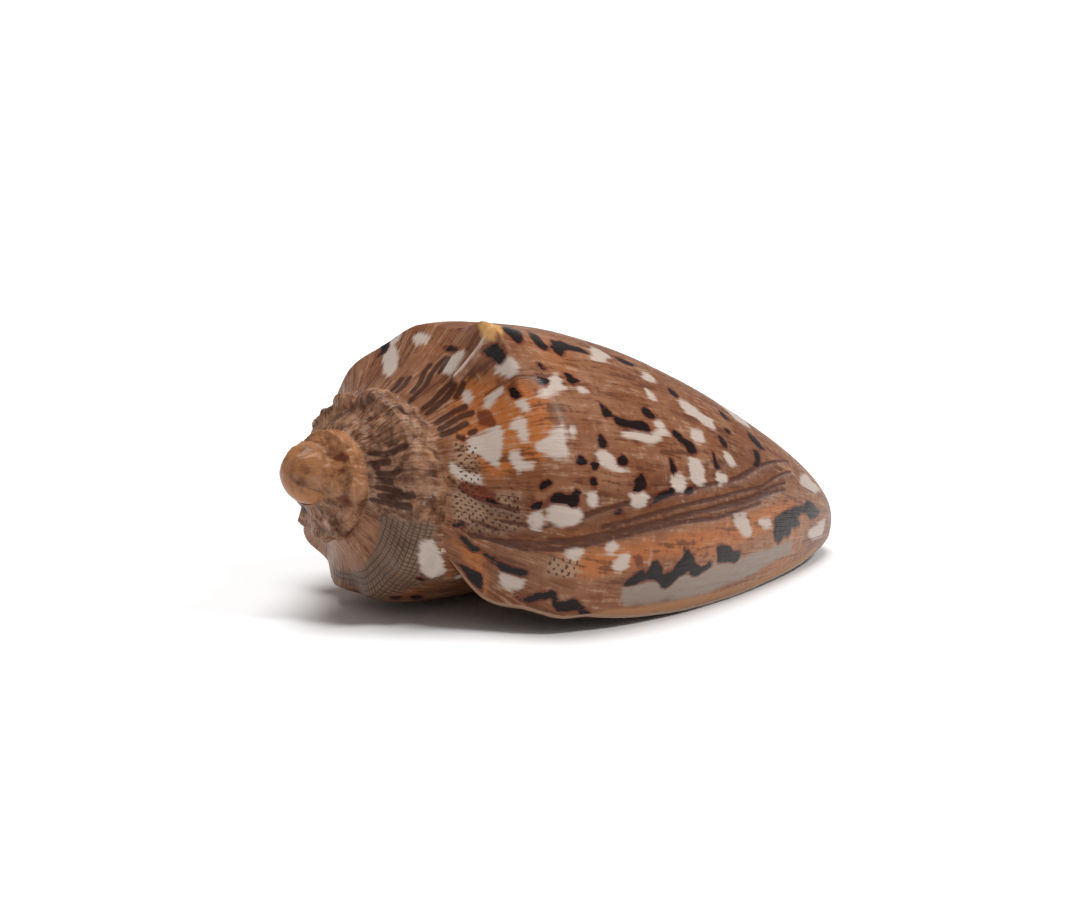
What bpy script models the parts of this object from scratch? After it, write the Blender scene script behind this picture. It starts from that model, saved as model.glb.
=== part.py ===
"""Volute shell, modelled as the one solid that it grew as, lying on its aperture.

The shell is worked out in its own axes first: the coiling axis is upright with the apex on top,
and the lip stands in the half plane of azimuth 0. Growth is measured in turns. The lip is at turn 0
and older shell has negative turns. A section of the whorl is described by one number, its course:
0 at the suture, 1 at the shoulder, 2 at the level where the next whorl's suture lies, 3 at the
front end. Lengths are in millimetres until the points are handed to Blender.
"""

import math

import bpy
import numpy as np

NAME = "volute_shell"
MM = 0.001

# Driving dimensions of the coil
SHELL_LENGTH = 90.0
LIP_RADIUS = 25.0
RADIUS_GROWTH = 0.60
POLE_HEIGHT = 90.3
LIP_DEPTH = 25.8
DEPTH_GROWTH = 0.69
FIRST_TURN = -3.0
SUTURE_DROP = 0.30

# Outline of the flank: radius as a share of the shoulder radius, from the shoulder to the front end
FLANK_LEVELS = (0.0, 0.08, 0.18, 0.32, 0.50, 0.70, 0.85, 0.95, 0.985, 1.0)
FLANK_RADII = (1.00, 1.04, 1.055, 1.01, 0.875, 0.655, 0.45, 0.265, 0.16, 0.0)
COLUMELLA_RADII = (1.00, 0.99, 0.90, 0.70, 0.46, 0.34, 0.30, 0.25, 0.16, 0.0)

# Shoulder: its bulge on the far side, and how far it is rounded off near the lip and before it
SWELL_TURN = -0.53
SWELL_WIDTH = 0.06
SWELL_SHARE = 0.06
ROUNDING_REACH = 0.60
ROUNDING_START = -0.24
ROUNDING_BLEND = 0.08
OLDER_ROUNDING = 0.25

# Nodules of the last whorl by their turn and relative height, and their rhythm on the spire
NODULE_TURNS = (-0.25, -0.36, -0.47, -0.57, -0.67, -0.77, -0.87, -0.96)
NODULE_HEIGHTS = (1.85, 0.25, 0.40, 0.80, 1.20, 0.60, 0.80, 0.80)
SPIRE_NODULE_STEP = 0.085
SPIRE_NODULE_HEIGHT = 0.85
NODULE_RISE = 0.10
NODULE_WIDTH = 0.034
NODULE_FADE_TURN = -2.4

# Lip, wall and inner space
LIP_COURSES = (0.0, 0.45, 1.0, 1.6, 2.2, 2.7, 3.0)
LIP_ADVANCES = (0.0, 0.022, 0.006, -0.002, -0.009, -0.016, -0.030)
LIP_BLEND = 0.14
LIP_ROUNDING = 0.6
RIM_THICKNESS = 2.4
WALL_THICKNESS = 2.0
CAVITY_TURNS = 0.60
CAVITY_FRONT = 0.82
CAVITY_SUTURE_GAP = 0.22
CAVITY_BLEND = 0.08
CAVITY_END_BULGE = 0.02

# Callus pad, raised on the older whorl where the lip meets it
CALLUS_TURN = -0.975
CALLUS_WIDTH = 0.028
CALLUS_COURSE = 1.95
CALLUS_SPREAD = 0.20
CALLUS_HEIGHT = 1.4

# Pose on the ground
REST_ROLL = 28.45
REST_PITCH = 10.4

# Mesh density
COLUMNS_PER_TURN = 60
RAMP_ROWS = 6
BAND_ROWS = 3
FLANK_ROWS = 16
FRONT_CROWDING = 1.45
RIM_ROWS = 2
DOME_RINGS = 4

SHELL_COLOUR = (0.42, 0.20, 0.11, 1.0)


def smooth(x):
    """Smooth step from 0 to 1."""
    x = np.clip(x, 0.0, 1.0)
    return x * x * (3.0 - 2.0 * x)


def curve_through(xs, ys, x):
    """Monotone cubic curve through a few points of an outline."""
    xs = np.asarray(xs, float)
    ys = np.asarray(ys, float)
    x = np.clip(np.asarray(x, float), xs[0], xs[-1])
    width = np.diff(xs)
    slope = np.diff(ys) / width
    tangent = np.zeros_like(ys)
    tangent[0] = slope[0]
    tangent[-1] = slope[-1]
    same = slope[:-1] * slope[1:] > 0.0
    blend = 2.0 * slope[:-1] * slope[1:] / np.where(same, slope[:-1] + slope[1:], 1.0)
    tangent[1:-1] = np.where(same, blend, 0.0)
    i = np.clip(np.searchsorted(xs, x, side="right") - 1, 0, len(xs) - 2)
    u = (x - xs[i]) / width[i]
    start = ys[i] * (1.0 + 2.0 * u) * (1.0 - u) ** 2 + tangent[i] * width[i] * u * (1.0 - u) ** 2
    end = ys[i + 1] * u * u * (3.0 - 2.0 * u) + tangent[i + 1] * width[i] * u * u * (u - 1.0)
    return start + end


def shoulder_radius(turn):
    return LIP_RADIUS * np.exp(RADIUS_GROWTH * turn)


def shoulder_height(turn):
    return POLE_HEIGHT - LIP_DEPTH * np.exp(DEPTH_GROWTH * turn)


def shoulder_share(turn):
    """Spire whorls carry their nodules a little inside their widest line."""
    return 1.0 - 0.09 * smooth((-0.55 - turn) / 0.5)


def nodule(turn):
    """Height of the nodule row at a turn, from 0 between nodules to 1 on a tip."""
    turn = np.asarray(turn, float)
    spire = np.arange(-1.0 - SPIRE_NODULE_STEP * 0.6, FIRST_TURN, -SPIRE_NODULE_STEP)
    centres = np.concatenate([NODULE_TURNS, spire])
    heights = np.concatenate([NODULE_HEIGHTS, np.full(spire.shape, SPIRE_NODULE_HEIGHT)])
    distance = (turn[..., None] - centres) / NODULE_WIDTH
    height = (np.exp(-distance * distance) * heights).max(-1)
    return height * smooth((turn - NODULE_FADE_TURN) / 0.5)


def flank_share(turn, level):
    """Radius of the flank as a share of the shoulder radius; older flanks turn into the columella."""
    body = curve_through(FLANK_LEVELS, FLANK_RADII, level)
    inner = curve_through(FLANK_LEVELS, COLUMELLA_RADII, level)
    inward = smooth((-0.58 - turn) / 0.42)
    inset = (1.0 - shoulder_share(turn)) * np.exp(-(level / 0.03))
    swell = SWELL_SHARE * np.exp(-(((turn - SWELL_TURN) / SWELL_WIDTH) ** 2)) * np.exp(-(level / 0.15))
    return body * (1.0 - inward) + inner * inward - inset + swell


def plain_flank(turn, level):
    return shoulder_radius(turn) * flank_share(turn, level), shoulder_height(turn) * (1.0 - level)


def drop_level(turn):
    """Level on the flank at which the next whorl's suture lies."""
    return SUTURE_DROP * shoulder_radius(turn) / shoulder_height(turn)


def cornered(turn, course):
    """Radius and height of the whorl at a turn and course, with a sharp shoulder."""
    older = np.maximum(turn - 1.0, FIRST_TURN)
    suture_r, suture_z = plain_flank(older, drop_level(older))
    shoulder_r, shoulder_z = plain_flank(turn, 0.0 * turn)
    w = np.clip(course, 0.0, 1.0)
    size = shoulder_radius(turn)
    ramp_r = suture_r + (shoulder_r - suture_r) * w
    ramp_z = suture_z + (shoulder_z - suture_z) * w - 0.035 * size * np.sin(math.pi * w)
    band = np.clip(course - 1.0, 0.0, 1.0)
    rest = np.clip(course - 2.0, 0.0, 1.0)
    level = drop_level(turn) * band + (1.0 - drop_level(turn)) * rest
    flank_r, flank_z = plain_flank(turn, level)
    on_ramp = course < 1.0
    r = np.where(on_ramp, ramp_r, flank_r)
    z = np.where(on_ramp, ramp_z, flank_z)
    born = np.sqrt(np.clip((turn - FIRST_TURN) / 0.7, 0.0, 1.0))
    born = np.where(turn < FIRST_TURN + 1.0, born, 1.0)
    return suture_r + (r - suture_r) * born, suture_z + (z - suture_z) * born


def section(turn, course, nodules=True):
    """Radius and height of the whorl at a turn and course, with its rounded shoulder."""
    turn = np.asarray(turn, float)
    course = np.asarray(course, float)
    sharp = cornered(turn, course)
    above = cornered(turn, 1.0 - ROUNDING_REACH + 0.0 * course)
    below = cornered(turn, 1.0 + ROUNDING_REACH + 0.0 * course)
    corner = cornered(turn, 1.0 + 0.0 * course)
    u = np.clip((course - 1.0 + ROUNDING_REACH) / (2.0 * ROUNDING_REACH), 0.0, 1.0)
    amount = OLDER_ROUNDING + (1.0 - OLDER_ROUNDING) * smooth((turn - ROUNDING_START) / ROUNDING_BLEND)
    amount = amount * (np.abs(course - 1.0) < ROUNDING_REACH)
    arcs = [(1.0 - u) ** 2 * a + 2.0 * u * (1.0 - u) * c + u * u * b for a, c, b in zip(above, corner, below)]
    r, z = [flat + (arc - flat) * amount for flat, arc in zip(sharp, arcs)]
    if nodules:
        rise = NODULE_RISE * shoulder_radius(turn) * nodule(turn) * nodule_reach(turn, course)
        r = r + rise
        z = z + 0.6 * rise
    return r, z


def nodule_reach(turn, course):
    """How much of a nodule's height reaches a course: all at the shoulder, little down the flank."""
    level = drop_level(turn) * np.clip(course - 1.0, 0.0, 1.0)
    level = level + (1.0 - drop_level(turn)) * np.clip(course - 2.0, 0.0, 1.0)
    covered = smooth((course - 1.6) / 0.4) * (turn < -1.0)
    flank = np.exp(-(level / 0.09)) * (1.0 - covered)
    return np.where(course < 1.0, np.clip(course, 0.0, 1.0) ** 1.8, flank)


def place(turn, r, z):
    """Point in the shell's own axes."""
    angle = -2.0 * math.pi * turn
    return np.stack([r * np.cos(angle), r * np.sin(angle), z + 0.0 * r], axis=-1)


def callus_rise(turn, course):
    """Height of the callus pad in millimetres."""
    along = (turn - CALLUS_TURN) / CALLUS_WIDTH
    across = (course - CALLUS_COURSE) / CALLUS_SPREAD
    return CALLUS_HEIGHT * np.exp(-(along * along) - across * across)


def lip_turn(turn, course):
    """Turn of a column, drawn forward or back near the lip so that the lip has its own outline."""
    advance = curve_through(LIP_COURSES, LIP_ADVANCES, course)
    return turn + advance * smooth((turn + LIP_BLEND) / LIP_BLEND)


def drawn_section(turn, course, nodules=True):
    """Section of a column, with the lip's own outline and its rounded shoulder."""
    drawn = lip_turn(turn, course)
    r, z = section(drawn, course, nodules)
    rounding = LIP_ROUNDING * smooth((turn + 0.09) / 0.09) * np.exp(-((course - 1.0) / 0.40) ** 2)
    return drawn, r - rounding + callus_rise(turn, course), z - 0.3 * rounding


def outer_points(turn, course):
    """Outside of the shell at a column's turn."""
    return place(*drawn_section(turn, course))


def inner_points(depth, course, thickness):
    """Inside of the outer wall, a depth in turns behind the lip."""
    turn = -depth
    back = smooth(depth / CAVITY_BLEND)
    gap = back * CAVITY_SUTURE_GAP + (0.9 - CAVITY_SUTURE_GAP) * smooth(2.0 * depth / CAVITY_TURNS - 1.0)
    squeezed = np.where(course < 1.0, course + gap * (1.0 - course), course)
    front = 1.0 - back * (1.0 - CAVITY_FRONT)
    squeezed = np.where(course > 2.0, 2.0 + (course - 2.0) * front, squeezed)
    step = 0.35
    drawn, r, z = drawn_section(turn, squeezed, nodules=False)
    _, r_next, z_next = drawn_section(turn, np.minimum(squeezed + step, 3.0), nodules=False)
    _, r_last, z_last = drawn_section(turn, np.maximum(squeezed - step, 0.0), nodules=False)
    along_r = r_next - r_last
    along_z = z_next - z_last
    length = np.hypot(along_r, along_z) + 1e-9
    return place(drawn, r + thickness * along_z / length, z - thickness * along_r / length)


def columella_points(depth, course):
    """Wall of the older whorl and the columella, seen from inside, a depth behind the lip."""
    turn = -1.0 - depth
    front = 1.0 - smooth(depth / CAVITY_BLEND) * (1.0 - CAVITY_FRONT)
    level = drop_level(turn) + (1.0 - drop_level(turn)) * (course - 2.0) * front
    inner = curve_through(FLANK_LEVELS, COLUMELLA_RADII, level)
    inset = (1.0 - shoulder_share(turn)) * np.exp(-(level / 0.03))
    r = shoulder_radius(turn) * (inner - inset)
    z = shoulder_height(turn) * (1.0 - level)
    return place(turn, r, z)


class Mesh:
    """Points and faces of the one closed skin."""

    def __init__(self):
        self.points = []
        self.faces = []

    def add(self, point):
        self.points.append(tuple(float(v) for v in point))
        return len(self.points) - 1

    def add_all(self, points):
        return [self.add(p) for p in points]

    def strip(self, first, second):
        """Quads, or triangles where points are shared, between two rows of equal length."""
        for a, b, c, d in zip(first[:-1], first[1:], second[1:], second[:-1]):
            corners = []
            for v in (a, b, c, d):
                if v not in corners:
                    corners.append(v)
            if len(corners) > 2:
                self.faces.append(corners)


def build_skin():
    """Outside, lip rim and inner space, sharing their edges."""
    mesh = Mesh()
    n = COLUMNS_PER_TURN
    spire = np.concatenate([np.linspace(0.0, 1.0, RAMP_ROWS + 1), np.linspace(1.0, 2.0, BAND_ROWS + 1)[1:]])
    flank = 3.0 - np.linspace(1.0, 0.0, FLANK_ROWS + 1)[1:] ** FRONT_CROWDING
    courses = np.concatenate([spire, flank])
    band_row = len(spire) - 1
    spire_columns = int(round((-1.0 - FIRST_TURN) * n))
    turns = FIRST_TURN + np.arange(spire_columns + n + 1) / n
    front_tip = mesh.add((0.0, 0.0, 0.0))

    columns = []
    for i, turn in enumerate(turns):
        last_whorl = i >= spire_columns
        rows = courses if last_whorl else spire
        points = outer_points(np.full(rows.shape, turn), rows)
        if i == 0:
            columns.append([mesh.add(points[0])] * len(rows))
            continue
        if i >= n:
            start = [columns[i - n][band_row]]
        else:
            start = [mesh.add(points[0])]
        if last_whorl:
            column = start + mesh.add_all(points[1:-1]) + [front_tip]
        else:
            column = start + mesh.add_all(points[1:])
        columns.append(column)
    for i in range(len(columns) - 1):
        rows = min(len(columns[i]), len(columns[i + 1]))
        mesh.strip(columns[i + 1][:rows], columns[i][:rows])

    build_dome(mesh, [column[0] for column in columns[:n]])
    build_inside(mesh, columns, spire_columns, courses, band_row)
    return mesh


def build_dome(mesh, ring):
    """First whorl, a smooth dome inside the oldest turn."""
    base = np.array([mesh.points[v] for v in ring])
    tip = np.array([0.0, 0.0, SHELL_LENGTH])
    for k in range(1, DOME_RINGS + 1):
        angle = 0.5 * math.pi * k / (DOME_RINGS + 1)
        points = base * math.cos(angle)
        points[:, 2] = base[:, 2] + (tip[2] - base[:, 2]) * math.sin(angle)
        following = mesh.add_all(points)
        mesh.strip(following + following[:1], ring + ring[:1])
        ring = following
    top = mesh.add(tip)
    for a, b in zip(ring, ring[1:] + ring[:1]):
        mesh.faces.append([b, a, top])


def build_inside(mesh, columns, spire_columns, courses, band_row):
    """Rounded lip rim, then the inner space running back from the aperture."""
    lip = columns[-1]
    inner_line = columns[spire_columns][band_row:]
    corner_taper = smooth(courses / 0.35) * smooth((3.0 - courses) / 0.25)
    taper = RIM_THICKNESS * corner_taper
    lip_points = np.array([mesh.points[v] for v in lip])
    inset = inner_points(0.0 * courses, courses, taper)
    inset[0] = lip_points[0]
    inset[-1] = lip_points[-1]
    ahead = outer_points(0.0 * courses + 0.01, courses) - outer_points(0.0 * courses, courses)
    ahead /= np.linalg.norm(ahead, axis=1)[:, None] + 1e-9
    previous = lip
    for k in range(1, RIM_ROWS + 1):
        angle = math.pi * k / (RIM_ROWS + 1)
        share = 0.5 - 0.5 * math.cos(angle)
        points = lip_points * (1.0 - share) + inset * share
        points += ahead * (0.45 * math.sin(angle) * taper)[:, None]
        row = [lip[0]] + mesh.add_all(points[1:-1]) + [lip[-1]]
        mesh.strip(row, previous)
        previous = row
    first = [lip[0]] + mesh.add_all(inset[1:-1]) + [lip[-1]]
    mesh.strip(first, previous)

    ring = first + inner_line[-2:0:-1]
    steps = int(round(CAVITY_TURNS * COLUMNS_PER_TURN))
    inner_courses = courses[band_row:]
    for k in range(1, steps + 1):
        depth = k / COLUMNS_PER_TURN
        back = smooth(depth / CAVITY_BLEND)
        thickness = RIM_THICKNESS * corner_taper * (1.0 - back) + WALL_THICKNESS * back
        outside = inner_points(np.full(courses.shape, depth), courses, thickness)
        inside = columella_points(np.full(inner_courses.shape, depth), inner_courses)
        outside[0] = 0.5 * (outside[0] + inside[0])
        outside[-1] = 0.5 * (outside[-1] + inside[-1])
        points = np.concatenate([outside, inside[-2:0:-1]])
        centre = points.mean(axis=0)
        closing = max(0.0, 1.0 - (steps - k) / 5.0)
        points = centre + (points - centre) * math.sqrt(1.0 - 0.7 * closing * closing)
        following = mesh.add_all(points)
        mesh.strip(following + following[:1], ring + ring[:1])
        ring = following
    centre = np.mean([mesh.points[v] for v in ring], axis=0)
    deeper = math.atan2(centre[1], centre[0]) + 2.0 * math.pi * CAVITY_END_BULGE
    radius = math.hypot(centre[0], centre[1])
    end = mesh.add((radius * math.cos(deeper), radius * math.sin(deeper), centre[2]))
    for a, b in zip(ring, ring[1:] + ring[:1]):
        mesh.faces.append([b, a, end])


def to_world(points):
    """Lay the shell down: apex towards -X, lip towards -Y, aperture underneath, then settle it."""
    laid = np.stack([-points[:, 2], -points[:, 0], points[:, 1]], axis=1)
    roll = math.radians(REST_ROLL)
    pitch = math.radians(REST_PITCH)
    about_x = np.array([[1, 0, 0], [0, math.cos(roll), -math.sin(roll)], [0, math.sin(roll), math.cos(roll)]])
    about_y = np.array([[math.cos(pitch), 0, math.sin(pitch)], [0, 1, 0], [-math.sin(pitch), 0, math.cos(pitch)]])
    laid = laid @ about_x.T @ about_y.T
    low = laid.min(axis=0)
    high = laid.max(axis=0)
    origin = np.array([(low[0] + high[0]) / 2.0, (low[1] + high[1]) / 2.0, low[2]])
    return (laid - origin) * MM


def shell_material():
    material = bpy.data.materials.new("shell")
    material.use_nodes = True
    principled = material.node_tree.nodes["Principled BSDF"]
    principled.inputs["Base Color"].default_value = SHELL_COLOUR
    principled.inputs["Roughness"].default_value = 0.32
    principled.inputs["Metallic"].default_value = 0.0
    return material


def main():
    for old in list(bpy.data.objects):
        bpy.data.objects.remove(old, do_unlink=True)
    skin = build_skin()
    points = to_world(np.array(skin.points))
    data = bpy.data.meshes.new(NAME)
    data.from_pydata([tuple(p) for p in points], [], skin.faces)
    data.validate()
    data.polygons.foreach_set("use_smooth", [True] * len(data.polygons))
    data.materials.append(shell_material())
    data.update()
    shell = bpy.data.objects.new(NAME, data)
    collection = bpy.data.collections.new(NAME)
    bpy.context.scene.collection.children.link(collection)
    collection.objects.link(shell)


main()
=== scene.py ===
import math

import bpy
import numpy as np
from mathutils import Matrix, Vector
from mathutils.bvhtree import BVHTree
from mathutils.interpolate import poly_3d_calc


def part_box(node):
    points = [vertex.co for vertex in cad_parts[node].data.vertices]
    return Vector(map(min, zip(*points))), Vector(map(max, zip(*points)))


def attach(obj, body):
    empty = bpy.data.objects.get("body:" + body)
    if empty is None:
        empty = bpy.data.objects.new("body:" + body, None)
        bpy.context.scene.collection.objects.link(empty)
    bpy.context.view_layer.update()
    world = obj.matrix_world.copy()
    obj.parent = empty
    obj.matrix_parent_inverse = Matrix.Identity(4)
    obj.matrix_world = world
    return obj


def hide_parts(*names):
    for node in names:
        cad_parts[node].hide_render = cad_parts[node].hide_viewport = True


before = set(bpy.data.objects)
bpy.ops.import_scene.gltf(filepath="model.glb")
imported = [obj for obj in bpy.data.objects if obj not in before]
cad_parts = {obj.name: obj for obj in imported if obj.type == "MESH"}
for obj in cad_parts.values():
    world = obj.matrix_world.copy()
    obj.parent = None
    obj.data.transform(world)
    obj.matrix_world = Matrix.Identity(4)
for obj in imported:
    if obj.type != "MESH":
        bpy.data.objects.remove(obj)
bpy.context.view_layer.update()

# The shell is drawn unwound first: a strip whose x is the growth in turns, and whose y and z are
# shares of the shoulder's radius and height at that turn. The lip is at turn 0 and older shell has
# negative turns. A course runs across the strip: 0 at the suture, 1 at the shoulder, 2 at the level
# of the next suture, 3 at the front end. A node tree then winds the strip up by the growth law.
# Lengths are in millimetres and angles in degrees, except where a comment says otherwise.
MM = 0.001

# Growth law: the shoulder's radius and its depth below the pole grow by a steady factor in each turn.
# The next whorl's suture lies below the shoulder, and the ramp above the shoulder is a little hollow.
SHELL_LENGTH = 90.0
LIP_RADIUS = 25.0
RADIUS_GROWTH = 0.60
POLE_HEIGHT = 90.3
LIP_DEPTH = 25.8
DEPTH_GROWTH = 0.69
FIRST_TURN = -3.0
SUTURE_DROP = 0.30
RAMP_HOLLOW = 0.035
BIRTH_TURNS = 0.7

# Outline of the flank: radius as a share of the shoulder radius, from the shoulder at level 0 to the
# front end at level 1, and the turns over which it changes into the columella
FLANK_LEVELS = (0.0, 0.08, 0.18, 0.32, 0.50, 0.70, 0.85, 0.95, 0.985, 1.0)
FLANK_RADII = (1.00, 1.04, 1.055, 1.01, 0.875, 0.655, 0.45, 0.265, 0.16, 0.0)
COLUMELLA_RADII = (1.00, 0.99, 0.90, 0.70, 0.46, 0.34, 0.30, 0.25, 0.16, 0.0)
COLUMELLA_START = -0.58
COLUMELLA_BLEND = 0.42

# Shoulder: its inset on the spire, its swell on the far side, and its rounding near the lip and before
SPIRE_INSET = 0.09
SPIRE_INSET_START = -0.55
SPIRE_INSET_BLEND = 0.5
SPIRE_INSET_REACH = 0.03
SWELL_TURN = -0.53
SWELL_WIDTH = 0.06
SWELL_SHARE = 0.06
SWELL_REACH = 0.15
ROUNDING_REACH = 0.60
ROUNDING_START = -0.24
ROUNDING_BLEND = 0.08
OLDER_ROUNDING = 0.25

# Nodules of the last whorl by turn and height, their rhythm on the spire, and their shape: a rise is a
# share of the shoulder radius, and a lift is the share of it that goes upwards too
NODULES = (
    (-0.25, 1.85), (-0.36, 0.25), (-0.47, 0.40), (-0.57, 0.80),
    (-0.67, 1.20), (-0.77, 0.60), (-0.87, 0.80), (-0.96, 0.80),
)
SPIRE_NODULE_STEP = 0.085
SPIRE_NODULE_HEIGHT = 0.85
SPIRE_NODULE_PHASE = 0.6
NODULE_RISE = 0.10
NODULE_WIDTH = 0.034
NODULE_LIFT = 0.6
NODULE_REACH = 0.09
NODULE_RAMP_POWER = 1.8
NODULE_FADE_TURN = -2.4
NODULE_FADE = 0.5
NODULE_COVER_COURSE = 1.6

# Lip, its rim, and the wall and inner space behind it, measured in turns back from the lip
LIP_COURSES = (0.0, 0.45, 1.0, 1.6, 2.2, 2.7, 3.0)
LIP_ADVANCES = (0.0, 0.022, 0.006, -0.002, -0.009, -0.016, -0.030)
LIP_BLEND = 0.14
LIP_ROUNDING = 0.6
LIP_ROUNDING_TURNS = 0.09
LIP_ROUNDING_SPREAD = 0.40
LIP_ROUNDING_DROP = 0.3
RIM_THICKNESS = 2.4
RIM_BULGE = 0.45
RIM_TURNS = 0.01
RIM_SUTURE_TAPER = 0.35
RIM_FRONT_TAPER = 0.25
WALL_THICKNESS = 2.0
CAVITY_TURNS = 0.60
CAVITY_FRONT = 0.82
CAVITY_SUTURE_GAP = 0.22
CAVITY_END_GAP = 0.9
CAVITY_BLEND = 0.08
CAVITY_END_BULGE = 0.02
CAVITY_CLOSING_RATE = 12.0
CAVITY_CLOSING_SHARE = 0.7

# Plaits of the columella: their levels at the aperture, how far they climb in a turn, and their shape
PLAIT_LEVELS = (0.42, 0.51, 0.60, 0.70)
PLAIT_CLIMB = 0.22
PLAIT_WIDTH = 0.011
PLAIT_HEIGHT = 1.1
PLAIT_START = 0.05

# Callus pad, raised on the older whorl where the lip meets it
CALLUS_TURN = -0.975
CALLUS_WIDTH = 0.028
CALLUS_COURSE = 1.95
CALLUS_SPREAD = 0.20
CALLUS_HEIGHT = 1.4

# Pose on the ground
REST_ROLL = 28.45
REST_PITCH = 10.4

# Mesh density
COLUMNS_PER_TURN = 352
RAMP_ROWS = 26
BAND_ROWS = 12
FLANK_ROWS = 96
FRONT_CROWDING = 1.45
RIM_ROWS = 5
DOME_RINGS = 8
CAVITY_COLUMNS = 64

# Place across that the dome is given, out of reach of the marks, and the turn of the front tip
DOME_ACROSS = -30.0
FRONT_TIP_TURN = -0.5

# Fading of the fine relief towards the suture, front end and cover of the next whorl, by course, and
# towards the lip, by turn; and the courses between which a wall's slope is taken
SUTURE_FADE = 0.12
FRONT_FADE = 0.1
COVER_FADE = 0.15
LIP_FADE = 0.004
SLOPE_STEP = 0.35

# Camera, read off the photograph: where it stands in the shell's own axes, and its framing in pixels
IMAGE_WIDTH = 1080
IMAGE_HEIGHT = 924
VIEW_AZIMUTH = 35.98
VIEW_ELEVATION = 38.29
VIEW_ROLL = -84.96
VIEW_DISTANCE = 451.93
VIEW_CENTRE = (567.39, 496.19)
PIXELS_PER_MM = 7.54
VIEW_TARGET = (0.0, 0.0, 45.0)
SENSOR_WIDTH = 36.0

# Floor and lamps in metres; each lamp has its place, its spread in radians and its strength
FLOOR_REACH = 3.0
FLOOR_WHITE = (0.93, 0.93, 0.93, 1.0)
SURROUND_STRENGTH = 0.24
LAMP_TARGET = (0.0, 0.0, 0.02)
LAMPS = {
    "overhead": ((0.05, 0.1, 0.8), 0.7, 2.7),
    "key": ((0.25, -0.4, 0.6), 0.2, 1.3),
}

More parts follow.
